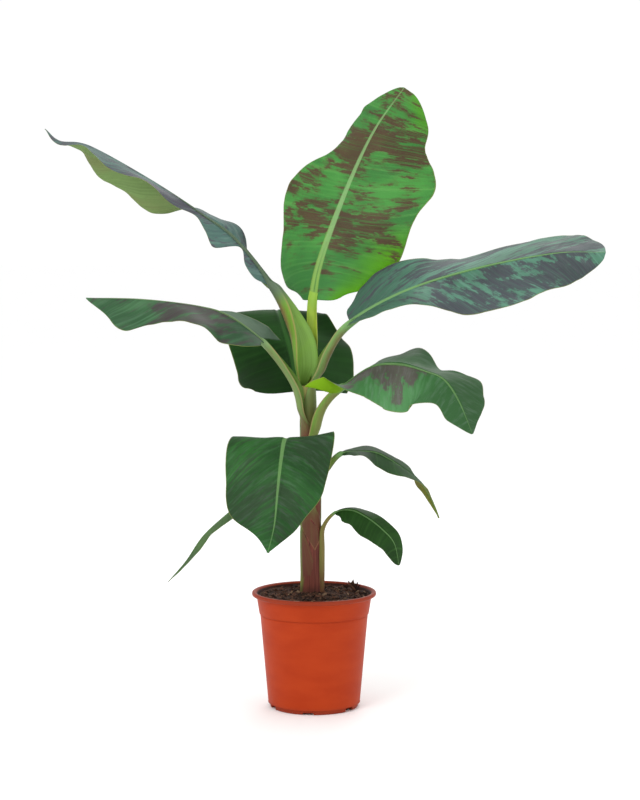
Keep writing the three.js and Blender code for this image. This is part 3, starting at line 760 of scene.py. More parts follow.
def soil_piece(count=150):
    """Square to disc: x = a sqrt(1 - b^2 / 2), y = b sqrt(1 - a^2 / 2), both times the radius."""
    a, b = np.meshgrid(np.linspace(-1, 1, count), np.linspace(-1, 1, count), indexing="ij")
    x = SOIL_RADIUS * a * np.sqrt(1 - b * b / 2)
    y = SOIL_RADIUS * b * np.sqrt(1 - a * a / 2)
    top = np.stack([x, y, ground(x, y)], -1)
    narrower = SOIL["lower_share"]
    bottom = np.stack([narrower * x, narrower * y, np.full_like(x, SOIL["lower_face"])], -1)
    points = np.concatenate([top, bottom[:, ::-1]], 1).reshape(-1, 3)
    return hang(put_mesh("potting_soil", points, tube_faces(count, 2 * count)), ["soil"])


potting_soil = soil_piece()
print("soil radius", round(SOIL_RADIUS, 1), "mm,", len(potting_soil.data.polygons), "faces")

# %% [markdown]
# ### Bark
#
# A potting mix has scraps of composted bark in it, and they come to the top when the plant is watered. A
# particle system could scatter copies of one scrap, but all of them would have its shape. Here the corners
# of hundreds of small boxes are pulled about in one array, so no two bits are alike. A torn scrap that
# stands up near the rim is a fan of long splinters.

# %% Bits of bark on the soil
CHIP_CORNERS = np.array([(x, y, z) for x in (-1, 1) for y in (-1, 1) for z in (-1, 1)], float)
CHIP_FACES = np.array([(0, 1, 3, 2), (4, 6, 7, 5), (0, 4, 5, 1), (2, 3, 7, 6), (0, 2, 6, 4), (1, 5, 7, 3)])
CHIP_SIZE = np.array([4.6, 2.6, 1.4])  # half length, width and thickness of a full-sized bit
SCRAP_SPLINTERS = 7


def turned(angles):
    """Rotation matrices for rows of three angles, about x, then y, then z."""
    (cx, cy, cz), (sx, sy, sz) = np.cos(angles).T, np.sin(angles).T
    return np.stack([
        np.stack([cy * cz, sx * sy * cz - cx * sz, cx * sy * cz + sx * sz], -1),
        np.stack([cy * sz, sx * sy * sz + cx * cz, cx * sy * sz - sx * cz], -1),
        np.stack([-sy, sx * cy, cx * cy], -1),
    ], 1)


def scrap_splinters(size, tilt, centre):
    """Turns the last few bits into the long splinters of one torn scrap that stands up near the rim."""
    last = slice(-SCRAP_SPLINTERS, None)
    fan = np.linspace(-1, 1, SCRAP_SPLINTERS)
    at = BARK_SCRAP["at"]
    splinter = BARK_SCRAP["height"] * (0.3 + 0.24 * np.abs(np.sin(5 * fan + 1.1)))
    size[last] = np.stack([1.5 + 0.5 * np.cos(4 * fan), 1.2 + 0 * fan, splinter], -1)
    tilt[last] = np.stack([0.2 * np.sin(3 * fan), 0.7 * fan - 0.25, 0.3 * fan], -1)
    centre[last] = np.stack([at[0] + 5.5 * fan, at[1] + 1.5 * np.cos(5 * fan), splinter - 1], -1)
    centre[last, 2] += ground(centre[last, 0], centre[last, 1])


def chips_piece(count=900):
    """Boxes with pulled corners, half sunk in the ground and spread evenly from the stem to the wall: the
    square root of an even draw gives each ring its share of them."""
    radius = (SOIL_RADIUS - 5) * np.sqrt(rng.uniform(0.04, 1, count))
    bearing = rng.uniform(0, 2 * np.pi, count)
    size = rng.uniform(0.45, 1, (count, 1)) ** 1.6 * CHIP_SIZE
    size = size * rng.uniform(0.6, 1.25, (count, 3))
    tilt = np.stack([rng.normal(0, 0.35, count), rng.normal(0, 0.35, count), rng.uniform(0, 6.3, count)], -1)
    x, y = radius * np.cos(bearing), radius * np.sin(bearing)
    centre = np.stack([x, y, ground(x, y) + 0.2 * size[:, 2]], -1)
    scrap_splinters(size, tilt, centre)
    corners = CHIP_CORNERS * size[:, None] * (1 + rng.uniform(-0.32, 0.32, (count, 8, 3)))
    points = np.einsum("nij,nkj->nki", turned(tilt), corners) + centre[:, None]
    faces = (CHIP_FACES[None] + 8 * np.arange(count)[:, None, None]).reshape(-1, 4)
    tone = np.repeat(rng.uniform(0, 1, count), 8)
    piece = put_mesh("bark_bits", points.reshape(-1, 3), faces, values={"tone": tone})
    piece.data.polygons.foreach_set("use_smooth", np.zeros(len(piece.data.polygons), bool))
    return hang(piece, [])


bark_bits = chips_piece()
print("bits of bark:", len(bark_bits.data.polygons) // len(CHIP_FACES))

# %% [markdown]
# ## The pot
#
# A nursery pot is moulded in one go: a tapered wall, a collar that steps out near the top, a rolled lip and
# a low foot ring with drain notches. The Screw modifier would turn its outline round the upright axis, and
# a Boolean would cut the notches, with ragged edges on so thin a ring. The turn is one line of arithmetic,
# and inside a notch the foot's points are simply lifted.

# %% The pot's outline
LIP = [(-7, -7.4), (-4, -6.9), (-1.4, -6.4), (-0.4, -5.6), (0, -4.4), (0, -2.6), (-0.5, -1.2),
       (-1.5, -0.4), (-2.8, 0), (-5.6, -0.2)]  # out from the rim's radius and up from its top
FOOT = [(-9, 1.2), (-7.6, 1), (-7, 0), (-1.2, 0), (-0.2, 0.7), (0, 2), (0.3, 4.2), (0.5, 5.2),
        (0.7, 6.6), (1.6, 7.2)]  # out from the foot's radius, and height


def pot_outline():
    """Radius and height from the middle of the underside, out and up the wall, over the lip and down the
    inside to the middle of the floor."""
    rim, height, foot, step = (POT[key] for key in ("rim_radius", "height", "foot_radius", "step_height"))
    wall = lambda z: float(wall_radius(np.array(float(z))))
    inner = lambda z: wall(z) - POT["wall"]
    collar = height - POT["rim_depth"]
    points = [(foot + dr, z) for dr, z in FOOT] + [(78.2, 7.6)]
    points += [(wall(z), z) for z in (8.4, 10, 14, 30, 50, 70, 90, 110, 130, 145, 154, step - 3)]
    below = wall(step - 3) - 0.5
    points += [(below, step - 2.4), (below, step - 1.4), (wall(step + 1) - 0.3, step - 0.6)]
    points += [(wall(z), z) for z in (step + 0.4, step + 2, 168, 176, 182, collar - 3)]
    points += [(rim + dr, height + dz) for dr, dz in LIP]
    points += [(inner(height) + 2, height - 0.8), (inner(height) + 0.7, height - 2.4)]
    points += [(inner(z), z) for z in (height - 5, 188, 183, 178, step + 2, step - 3, 120, 60, 12)]
    points += [(foot - 4, POT["floor"] + 1.5), (foot - 8, POT["floor"])]
    return np.array(points)


print("outline of the pot:", len(pot_outline()), "points")

# %% The pot, turned and notched
def notched(radius, angle, height):
    """Heights with the foot lifted in the notches. The notch in front is the lowest of them."""
    pitch = 360 / POT["notches"]
    degrees = np.degrees(angle)
    from_notch = (degrees - POT["first_notch"] + pitch / 2) % pitch - pitch / 2
    inside = np.abs(np.radians(from_notch)) * radius < POT["notch_width"] / 2
    front = np.abs(degrees - 360 - POT["first_notch"]) < pitch / 2
    notch_top = np.where(front, POT["front_notch_height"], POT["other_notch_height"])
    foot = (np.arange(len(radius)) < len(FOOT))[:, None] & (radius > POT["foot_radius"] - 8)
    return np.where(inside & foot, np.maximum(height, notch_top + 0.1 * height), height)


def pot_piece(around=360):
    """Turned outline: (r cos a, r sin a, z). One fan closes it below and another over the floor."""
    outline = pot_outline()
    turn = 2 * np.pi * np.arange(around) / around
    radius, angle = np.meshgrid(outline[:, 0], turn, indexing="ij")
    height = notched(radius, angle, np.broadcast_to(outline[:, 1:], radius.shape))
    points = np.stack([radius * np.cos(angle), radius * np.sin(angle), height], -1).reshape(-1, 3)
    centres = np.array([[0, 0, outline[0, 1]], [0, 0, outline[-1, 1]]])
    j = np.arange(around)
    after, inner_row = (j + 1) % around, len(points) - around
    underside = np.stack([0 * j + len(points), j, after], -1)
    floor = np.stack([0 * j + len(points) + 1, inner_row + after, inner_row + j], -1)
    quads = tube_faces(len(outline), around, closed_ends=False)[:, ::-1]
    fans = np.concatenate([underside, floor])
    return hang(put_mesh("nursery_pot", np.concatenate([points, centres]), quads, fans), ["pot"])


nursery_pot = pot_piece()
print("pot:", len(nursery_pot.data.polygons), "faces")

# %% [markdown]
# ## Writing finishes as sums
#
# Each surface gets its colour from a few patterns added and multiplied together. The nodes could be placed
# and joined by hand in the Shader Editor, where fifty of them are hard to read. Here a small class stands
# for one number that varies over a surface, and writing a sum with it adds the Math nodes. Colours are
# mixed with Mix nodes, because a Math node would turn them grey.

# %% A value that varies over a surface
class Value:
    """A socket with one number in it. Sums, products and powers of it are nodes of the same finish."""

    def __init__(self, finish, socket):
        self.finish, self.socket = finish, socket

    def maths(self, operation, *terms):
        """A Math node with those terms as its inputs."""
        node = self.finish.node("ShaderNodeMath", {"operation": operation}, dict(enumerate(terms)))
        return Value(self.finish, node.outputs[0])

    def __add__(self, other):
        return self.maths("ADD", self, other)

    def __sub__(self, other):
        return self.maths("SUBTRACT", self, other)

    def __rsub__(self, other):
        return self.maths("SUBTRACT", other, self)

    def __mul__(self, other):
        return self.maths("MULTIPLY", self, other)

    def __pow__(self, other):
        return self.maths("POWER", self, other)

    def __abs__(self):
        return self.maths("ABSOLUTE", self)

    def step(self, start, end):
        """0 at start, 1 at end and an eased rise between them."""
        inputs = {0: self, 1: start, 2: end, 3: 0.0, 4: 1.0}
        node = self.finish.node("ShaderNodeMapRange", {"interpolation_type": "SMOOTHSTEP"}, inputs)
        return Value(self.finish, node.outputs[0])

    __radd__, __rmul__ = __add__, __mul__


print("a Value has", sum(callable(part) for part in vars(Value).values()), "operations")

# %% A finish, and colours as light
def paint(colour):
    """A painter's 0 to 255 triple as light: below 0.04 divided by 12.92, else ((c + 0.055) / 1.055)^2.4."""
    c = np.array(colour) / 255
    light = np.where(c < 0.04045, c / 12.92, ((c + 0.055) / 1.055) ** 2.4)
    return (*light.tolist(), 1.0)


def darker(colour, share):
    """The same colour with less light, or with more where the share is over 1."""
    return tuple(round(c * share) for c in colour)


class Finish:
    """A material whose shader is linked as its patterns are written."""

    def __init__(self, name, **fixed):
        self.material = bpy.data.materials.new(name)
        self.material.use_nodes = True
        self.tree = self.material.node_tree
        self.tree.nodes.clear()
        inputs = {key.replace("_", " "): value for key, value in fixed.items()}
        self.shader = self.node("ShaderNodeBsdfPrincipled", {}, inputs)
        self.out = self.node("ShaderNodeOutputMaterial", {}, {"Surface": self.shader.outputs[0]})

    def node(self, kind, settings, inputs):
        """A node of a kind. Its settings are made first, then its sockets get numbers, colours or links."""
        node = self.tree.nodes.new(kind)
        for key, value in settings.items():
            setattr(node, key, value)
        for key, value in inputs.items():
            socket = value.socket if isinstance(value, Value) else value
            if isinstance(socket, bpy.types.NodeSocket):
                self.tree.links.new(socket, node.inputs[key])
            else:
                node.inputs[key].default_value = socket
        return node

    def attribute(self, name):
        """A value that was stored with the points of the piece."""
        return Value(self, self.node("ShaderNodeAttribute", {"attribute_name": name}, {}).outputs["Fac"])

    def split(self, vector):
        """The three numbers of a vector."""
        node = self.node("ShaderNodeSeparateXYZ", {}, {0: vector})
        return [Value(self, socket) for socket in node.outputs]

    def on_map(self):
        """Places on the piece's own map: along it and across it."""
        return self.split(self.node("ShaderNodeUVMap", {"uv_map": "sheet"}, {}).outputs[0])[:2]

    def in_space(self):
        """Metres from the middle of the pot's underside: to the right, to the back and up."""
        return self.split(self.node("ShaderNodeTexCoord", {}, {}).outputs["Object"])

    def noise(self, x, y, z=0.0, detail=2.0, roughness=0.5):
        """Cloudy noise around 0.5 over three values, with lumps about one unit across."""
        place = self.node("ShaderNodeCombineXYZ", {}, {0: x, 1: y, 2: z})
        inputs = {"Vector": place.outputs[0], "Scale": 1.0, "Detail": detail, "Roughness": roughness}
        return Value(self, self.node("ShaderNodeTexNoise", {}, inputs).outputs[0])

    def mix(self, factor, first, second):
        """Colour between two colours, each a painter's 0 to 255 triple or another mix."""
        colours = [paint(c) if isinstance(c, tuple) else c for c in (first, second)]
        node = self.node("ShaderNodeMix", {"data_type": "RGBA"}, {0: factor, 6: colours[0], 7: colours[1]})
        return node.outputs[2]

    def surface(self, colour, roughness, relief, distance, strength=1.0):
        """Colour and roughness, and a relief that is as many metres deep as the distance says."""
        self.link("Base Color", colour)
        self.link("Roughness", roughness)
        inputs = {"Height": relief, "Distance": distance, "Strength": strength}
        self.link("Normal", self.node("ShaderNodeBump", {}, inputs).outputs[0])

    def link(self, socket, value):
        """Joins a value or a colour to a socket of the shader."""
        self.tree.links.new(value.socket if isinstance(value, Value) else value, self.shader.inputs[socket])

    def let_light_through(self, share, colour):
        """A share of the light goes through, as through a real blade, and takes that colour."""
        glow = self.node("ShaderNodeBsdfTranslucent", {}, {"Color": paint(colour)})
        both = self.node("ShaderNodeMixShader", {}, {0: share, 1: self.shader.outputs[0], 2: glow.outputs[0]})
        self.tree.links.new(both.outputs[0], self.out.inputs[0])

    def dress(self, *pieces):
        """Gives the material to whole pieces."""
        for piece in pieces:
            piece.data.materials.clear()
            piece.data.materials.append(self.material)


print("pot orange as light:", [round(v, 3) for v in paint((182, 66, 37))[:3]])

# %% [markdown]
# ## The blades' finish
#
# A blade is one green with finer and finer stripes along its side veins, a pale rib and a paler underside.
# This kind of banana also has wine-coloured patches. A picture of a leaf could be laid on instead, but it
# would be the same on every leaf and blurred from near. So one finish is written as layers of noise, and a
# table gives each blade its own colours and its own patches. The patches follow the veins, so their noise
# is stretched across the blade, on the piece's own map: u is metres along the rib, v is metres across.
#
# The entries that aren't colours are:
#
# - amount and size: how much of the blade is patched, and the patches a metre along and across
# - zone: shares along the blade between which there are more or fewer patches, with an eased start and end
# - lean: how much more patched the zone is, and how much more the margins are
# - slant: metres by which the veins run forward for each metre out, on the left half and on the right
# - torn: how far the patches are broken up by the veins
# - deep and dusk: a darker green near the base and the tip, and painted shade over the left half and the
#   right
# - crease: how dark the groove in the rib is near its base, as painted shade
# - bloom and gloss: how much wax there is, which also stands for a painted sheen, and how rough the surface
#   is
# - through: the share of light that passes the blade

# %% Looks of the ten blades
PLAIN = dict(
    green=(44, 88, 46), shade=(30, 64, 34), fresh=(76, 124, 58), patch=(58, 62, 50), amount=0.0,
    size=(88, 19), zone=(-2, -1, 2, 3), lean=(0.0, 0.0), slant=(0.0, 0.0), torn=0.2, deep=(0.0, 0.0),
    shaded_half=(0.0, 0.0), lit=None, wax_and_sheen=0.0, rib=(112, 156, 92), rib_foot=None, rib_width=0.8, crease_shade=0.0,
    under=(92, 132, 80), ear=None, glow=(90, 150, 30), through=0.14, gloss=0.46, seed=1,
)
LOOKS = {
    "top": dict(
        green=(74, 146, 66), shade=(56, 118, 56), fresh=(116, 174, 92), patch=(78, 48, 44), amount=0.6,
        size=(84, 22), zone=(0.05, 0.5, 2, 3), lean=(0.13, -0.12), slant=(-0.12, 0.04), torn=0.6,
        lit=(88, 156, 0), rib=(148, 196, 126), rib_foot=(148, 188, 70), rib_width=1.1, crease_shade=0.7,
        through=0.2, glow=(120, 190, 20), seed=3,
    ),
    "upper_left": dict(
        green=(86, 118, 108), shade=(70, 94, 92), fresh=(108, 144, 130), patch=(76, 72, 82), amount=0.6,
        # the rib is a dark purple-grey: painted shade for the channel over the midrib, which lies in shadow
        size=(120, 60), slant=(1.0, 1.2), torn=0.5, wax_and_sheen=0.14, rib=(100, 120, 96), rib_width=0.5,
        under=(120, 148, 88), gloss=0.56, seed=5,
    ),
    "right": dict(
        green=(92, 140, 118), shade=(74, 118, 96), fresh=(116, 160, 142), patch=(64, 63, 72), amount=0.49,
        size=(66, 42), zone=(0.1, 0.4, 0.94, 1.04), lean=(0.14, 0.0), slant=(1.4, 0.6), torn=0.4,
        deep=(0.9, 0.0), wax_and_sheen=0.06, rib=(126, 174, 106), rib_width=1.0, gloss=0.52, seed=7,
    ),
    "left": dict(
        green=(70, 112, 74), shade=(50, 86, 56), fresh=(100, 146, 110), patch=(68, 58, 62), amount=0.5,
        size=(76, 26), zone=(0.02, 0.3, 0.74, 0.9), lean=(0.2, 0.0), slant=(0.9, 0.9), torn=0.6,
        deep=(0.5, 0.0), wax_and_sheen=0.04, rib=(128, 160, 106), rib_width=1.3, gloss=0.58, seed=9,
    ),
    # The back leaf's greens, rib and underside are darker than its own colour: painted shade for the shadow
    # it hangs in.
    "back": dict(
        green=(32, 74, 24), shade=(20, 54, 14), fresh=(50, 98, 38), rib=(56, 104, 44), under=(46, 88, 30),
        gloss=0.58, seed=11,
    ),
    "right_mid": dict(
        green=(82, 138, 84), shade=(60, 112, 60), fresh=(106, 158, 110), patch=(82, 72, 72), amount=0.62,
        size=(44, 34), zone=(-0.4, -0.1, 0.44, 0.64), lean=(0.42, -0.3), slant=(0.4, 0.2),
        # dusk paints shade over the left half, the far one, which is darker green
        deep=(0.0, 0.9), shaded_half=(0.8, 0.0), wax_and_sheen=0.1, under=(84, 128, 64), ear=(116, 160, 14), gloss=0.52,
        seed=13,
    ),
    "front": dict(
        green=(40, 93, 38), shade=(26, 66, 26), fresh=(64, 118, 56), patch=(36, 60, 34), amount=0.56,
        size=(150, 30), slant=(0.35, 0.6), torn=0.5, wax_and_sheen=0.055, seed=15,
    ),
    "lower_right": dict(green=(50, 84, 46), shade=(36, 64, 36), under=(126, 134, 60), gloss=0.56, seed=17),
    "small_right": dict(green=(40, 80, 28), shade=(26, 58, 18), gloss=0.52, seed=19),
    "lower_left": dict(green=(78, 108, 60), shade=(60, 86, 50), under=(120, 142, 86), gloss=0.56, seed=21),
}
FLUSH = (134, 88, 74)  # wine-red under stalks and blades
EDGE = (150, 158, 84)  # the pale margin
# wax, and with it a painted sheen: the grey glare where a blade catches the light
WAX_AND_SHEEN = (172, 190, 182)  # wax
print("blades with patches:", ", ".join(name for name, look in LOOKS.items() if "amount" in look))

# %% Patterns of a blade
VEINS, STRIPES, CLOUDS = 560, 170, 11  # of each to a metre along the blade


class Patterns:
    """What varies over a blade: where a point lies on it, and its veins, stripes and clouds."""

    def __init__(self, finish, look):
        u, v = finish.on_map()
        v = v - 0.5
        self.rib, self.under = finish.attribute("rib"), finish.attribute("under")
        self.along, self.across = finish.attribute("along"), finish.attribute("across")
        self.out = abs(self.across)
        left, right = look["slant"]
        on_right = v.step(-0.002, 0.002)
        self.u, self.v = u - abs(v) * (left + (right - left) * on_right), v
        seed = look["seed"]
        self.veins = finish.noise(self.u * VEINS, v * 5, seed, detail=1)
        self.stripes = finish.noise(self.u * STRIPES, v * 4, seed + 20, detail=2)
        self.clouds = finish.noise(self.u * CLOUDS, v * 9, seed + 40, detail=3)
        self.streaks = finish.noise(self.u * 40, v * 300, seed, detail=2)
        # painted shade: how far the left half and the right are darkened as if in shadow
        shaded_left, shaded_right = look["shaded_half"]
        self.shaded_half = shaded_left + (shaded_right - shaded_left) * on_right


print("veins every", round(1 / VEINS / MM, 1), "mm, stripes every", round(1 / STRIPES / MM, 1), "mm")

# %% Layers of a blade
def green_layer(finish, look, on):
    """Green with paler stripes, deeper near the base and the tip, with painted shade over one half where the
    table asks for it, and painted light along a margin, as light coming through, where a lit colour is given.
    """
    colour = finish.mix((on.clouds + 0.3 * on.stripes).step(0.5, 0.8), look["shade"], look["green"])
    colour = finish.mix(on.stripes.step(0.5, 0.8) * 0.35, colour, look["fresh"])
    near_base, near_tip = look["deep"]
    deep = near_base * (1 - on.along.step(0.05, 0.4)) + near_tip * on.along.step(0.45, 0.75)
    # painted shade: the half named by dusk is darkened as if in shadow
    deep = deep + on.shaded_half * (1 - deep)
    colour = finish.mix(deep, colour, darker(look["shade"], 0.76))
    # painted light: a bright yellow-green along one margin, near the base and the tip, as light coming
    # through the blade
    if look["lit"]:
        side = (on.across + 0.5 * (on.clouds - 0.5)).step(0.3, 0.95)
        ends = 1 - on.along.step(0.24, 0.4) + 0.6 * on.along.step(0.78, 0.9)
        colour = finish.mix(side * ends * 0.9, colour, look["lit"])
    return colour


def patch_layer(finish, look, on, colour):
    """Patches lie where noise that is drawn out along the veins rises over a level. Each has a faint rim
    round it, and the veins show through it."""
    fine, broad = look["size"]
    spots = finish.noise(on.u * fine, on.v * broad, look["seed"] + 60, detail=4, roughness=0.66)
    parts = finish.noise(on.u * 12, on.v * 8, look["seed"] + 80, detail=1)
    level = 0.93 - 0.5 * (look["amount"] - 0.5)
    zone, (inside, outward) = look["zone"], look["lean"]
    middle = on.along.step(*zone[:2]) * (1 - on.along.step(*zone[2:]))
    wet = spots + 0.75 * parts + 0.2 * (on.veins - 0.5) + inside * (middle - 0.5)
    wet = wet + outward * on.out - 0.5 * on.shaded_half
    tint = finish.mix(on.clouds.step(0.4, 0.6), look["patch"], darker(look["patch"], 1.12))
    colour = finish.mix((wet + 0.09).step(level, level + 0.1) * 0.32, colour, tint)
    covered = wet.step(level, level + 0.03) * (1 - look["torn"] * on.veins.step(0.54, 0.64))
    return finish.mix(covered * (0.76 + 0.3 * on.stripes), colour, tint)


def wax_and_sheen_layer(finish, look, on, colour):
    """Whitish wax in small clouds, which also paints the grey sheen where light glances off the blade."""
    wax_and_sheen = finish.noise(on.u * 130, on.v * 26, look["seed"] + 120, detail=4, roughness=0.66)
    return finish.mix(wax_and_sheen.step(0.46, 0.7) * look["wax_and_sheen"], colour, WAX_AND_SHEEN)


def underside(finish, look, on):
    """Paler and greyer than the upper side and flushed in places, with a bright ear where it is folded up
    at the base."""
    skin = finish.mix(on.stripes.step(0.3, 0.7), look["under"], darker(look["under"], 0.92))
    skin = finish.mix(on.veins.step(0.5, 0.75) * 0.3, skin, darker(look["under"], 1.2))
    flushed = tuple((green + red) / 2 for green, red in zip(look["under"], FLUSH))
    skin = finish.mix(on.clouds.step(0.42, 0.62) * 0.4, skin, flushed)
    if look["ear"]:
        skin = finish.mix(on.along.step(0.12, 0.22), look["ear"], skin)
    return skin


def rib_and_margin(finish, look, on, colour):
    """The pale midrib with its streaks and, near its base, painted shade in its groove, and the thin pale
    margin.
    """
    edge = look["rib_width"]
    rib = 1 - on.rib.step(0.72 * edge, 1.15 * edge)
    pale = finish.mix(on.along.step(0.0, 0.4), look["rib_foot"] or look["rib"], look["rib"])
    pale = finish.mix(on.streaks * 0.7, pale, darker(look["rib"], 0.82))
    # painted shade: the middle of the rib's groove is darkened near the base, as if in shadow
    near_base = on.along.step(0.01, 0.05) * (1 - on.along.step(0.06, 0.3))
    crease_shade = (1 - on.rib.step(0.06, 0.3)) * near_base * (1 - on.under)
    pale = finish.mix(crease_shade * look["crease_shade"], pale, darker(look["green"], 0.8))
    fading = (0.95 - 0.3 * on.along) * (1 - 0.4 * on.along.step(0.84, 0.96))
    colour = finish.mix(rib * fading, colour, pale)
    return finish.mix(on.out.step(0.982, 0.997) * (1 - rib) * 0.6, colour, EDGE)


print("layers: green, patches, wax, underside, rib and margin")

# %% The ten blades dressed
def blade_finish(name, look):
    """The layers one over the other, a soft gloss, fine pleats and some light through the blade."""
    finish = Finish(f"{name}_blade_skin", IOR=1.42, Specular_IOR_Level=0.22)
    on = Patterns(finish, look)
    colour = green_layer(finish, look, on)
    if look["amount"]:
        colour = patch_layer(finish, look, on, colour)
    colour = finish.mix(on.veins.step(0.5, 0.8) * 0.3, colour, look["shade"])
    if look["wax_and_sheen"]:
        colour = wax_and_sheen_layer(finish, look, on, colour)
    colour = finish.mix(on.under, colour, underside(finish, look, on))
    colour = rib_and_margin(finish, look, on, colour)
    roughness = look["gloss"] + 0.1 * on.stripes + 0.14 * on.under
    pleats = (on.veins * 0.4 + on.stripes) * (1 - 0.7 * on.under)
    finish.surface(colour, roughness, pleats, 0.0004, 0.5)
    finish.let_light_through(look["through"], look["glow"])
    return finish


for name, piece in blades.items():
    blade_finish(name, {**PLAIN, **LOOKS[name]}).dress(piece)
print("blade finishes:", len(LOOKS))

# %% [markdown]
# ## The stalks' finish
#
# A stalk is a light waxy green with fine lines along it, flushed wine-red low down and along its rims. Such
# changes of colour could be painted on by hand, as vertex colours, ten times over. Here they follow values
# that each piece carries, such as how far up a point is and how far it faces the front, so one finish does
# for all ten and a row of the table sets each one's greens and reds.

# %% Finish of the stalks
# The groove's green is set darker than the outside where the groove lies in shade: painted shade.
STALK_LOOKS = {  # green outside, green of the groove, then shares: red under it, red of its sheath, dry rims
    "top": ((158, 178, 56), (134, 160, 52), 0.1, 0.5, 0.3),
    "upper_left": ((108, 148, 50), (120, 158, 74), 0.9, 0.9, 0.6),
    "right": ((116, 154, 84), (92, 114, 42), 0.8, 0.32, 0.6),
    "left": ((112, 138, 78), (88, 120, 44), 0.2, 1.0, 0.7),
    "back": ((58, 100, 36), (48, 88, 30), 0.0, 0.6, 0.2),
    "right_mid": ((114, 154, 66), (92, 126, 48), 0.5, 0.2, 0.7),
    "front": ((98, 140, 68), (78, 116, 54), 0.1, 1.0, 0.1),
    "lower_right": ((84, 110, 40), (74, 98, 36), 0.2, 1.0, 0.1),
    "small_right": ((122, 118, 58), (110, 112, 50), 0.3, 1.0, 0.3),
    "lower_left": ((98, 126, 54), (84, 110, 46), 0.2, 1.0, 0.1),
}
WINE = (102, 48, 42)
OLIVE = (108, 112, 46)
DRY_RIM = (164, 128, 92)


def stalk_finish(name, green, groove, wine, sheath_red, rim, seed):
    """Green with lines along it, then the flush underneath, the sheath, the dry rims and, where the stalk
    goes on under the blade, the colour of the rib."""
    finish = Finish(f"{name}_stalk_skin", IOR=1.42, Specular_IOR_Level=0.25)
    u, v = finish.on_map()
    up, back, front = finish.attribute("up"), finish.attribute("back"), finish.attribute("front")
    out, along = abs(finish.attribute("across")), finish.attribute("along")
    free = 1 - along.step(-0.06, 0.01)
    lines = finish.noise(v * 34, u * 7, seed, detail=2)
    clouds = finish.noise(v * 3, u * 24, seed + 5, detail=2)
    # painted shade: the groove side takes the groove's green, darker where the groove is in shadow
    colour = finish.mix(back + out.step(0.75, 0.95), groove, green)
    colour = finish.mix(lines.step(0.35, 0.75) * 0.5, colour, darker(green, 0.72))
    colour = finish.mix(clouds.step(0.45, 0.65) * 0.3, colour, darker(green, 1.15))
    flush = back * (1 - (out + 0.5 * (clouds - 0.5)).step(0.4, 0.85)) * free
    colour = finish.mix(flush * wine * (0.6 + 0.3 * lines), colour, FLUSH)
    low = 1 - (up + (clouds - 0.5) * 0.06).step(-0.02, 0.055)
    red = (front + 0.5 * (clouds - 0.5) + 0.5 * (lines - 0.5)).step(0.3, 0.62)
    olive = finish.mix(up.step(-0.08, 0.0), OLIVE, darker(green, 0.9))
    colour = finish.mix(low * (0.8 + 0.2 * lines), colour, finish.mix(red * sheath_red, olive, WINE))
    rims = (1 - back) * out.step(0.9, 0.98) + back * out.step(0.95, 0.985) * low * 1.3
    colour = finish.mix(rims * free * rim, colour, DRY_RIM)
    look = {**PLAIN, **LOOKS[name]}
    colour = finish.mix(along.step(-0.08, 0.01), colour, darker(look["rib_foot"] or look["rib"], 0.92))
    finish.surface(colour, 0.42 + 0.2 * lines, lines, 0.0005, 0.5)
    return finish


for number, (name, look) in enumerate(STALK_LOOKS.items()):
    stalk_finish(name, *look, seed=3.0 * number).dress(stalks[name])
print("stalk finishes:", len(STALK_LOOKS))

# %% [markdown]
# ## The stem's finish
#
# The stem is wine-red in front and olive at its sides, with lengthwise streaks, thin straw-coloured margins
# and a soiled foot. A tiled texture would show its seam down one side. These streaks are noise on the
# stem's own map, drawn out upwards, and the red uses the same measure of the front as the sheaths do, so it
# runs on from them.

# %% Finish of the stem
STEM = dict(
    olive=(84, 90, 30), light_olive=(134, 136, 58), straw=(158, 152, 96), wine=(74, 32, 28),
    light_wine=(126, 64, 52), fibre=(140, 104, 72), soiled=(64, 40, 30), margin=(160, 124, 84),
)


def stem_finish():
    """Olive with a straw-coloured upper part, wine-red over its front, soiled at its foot."""
    finish = Finish("stem_skin", IOR=1.42, Specular_IOR_Level=0.25)
    turn, height = finish.on_map()
    front, margin = finish.attribute("front"), finish.attribute("margin")
    streaks = finish.noise(turn * 70, height * 9, 0.0, detail=3, roughness=0.6)
    fine = finish.noise(turn * 260, height * 30, 4.0, detail=2)
    clouds = finish.noise(turn * 7, height * 24, 8.0, detail=2)
    olive = finish.mix(streaks.step(0.35, 0.65), STEM["olive"], STEM["light_olive"])
    olive = finish.mix(height.step(0.4, 0.5) * 0.6, olive, STEM["straw"])
    wine = finish.mix(streaks.step(0.35, 0.65), STEM["wine"], STEM["light_wine"])
    red = front + 0.5 * (clouds - 0.5) + 0.5 * (streaks - 0.5) - 0.9 * height.step(0.36, 0.46)
    colour = finish.mix(red.step(0.4, 0.72), olive, wine)
    colour = finish.mix(fine.step(0.55, 0.75) * 0.25, colour, STEM["fibre"])
    low = 1 - (height + (clouds - 0.5) * 0.02).step(0.197, 0.212)
    colour = finish.mix(low * 0.6, colour, STEM["soiled"])
    colour = finish.mix(margin * 0.5, colour, STEM["margin"])
    finish.surface(colour, 0.42 + 0.25 * streaks, streaks + 0.5 * fine, 0.0012, 0.5)
    return finish


stem_finish().dress(false_stem)
print("stem finished")

# %% [markdown]
# ## The finishes of soil and bark
#
# Moist peat is nearly black brown with lighter crumbs, and each bit of bark has a brown of its own. A few
# materials could be shared out among the bits, but a value stored with each bit's corners does it with one:
# it picks a tone between dark bark and bare wood.

# %% Finish of the soil and the bark
PEAT = dict(dark=(34, 22, 18), light=(92, 62, 48), damp=(70, 44, 32))
BARK = dict(dark=(44, 28, 22), light=(104, 70, 54), wood=(150, 124, 98))


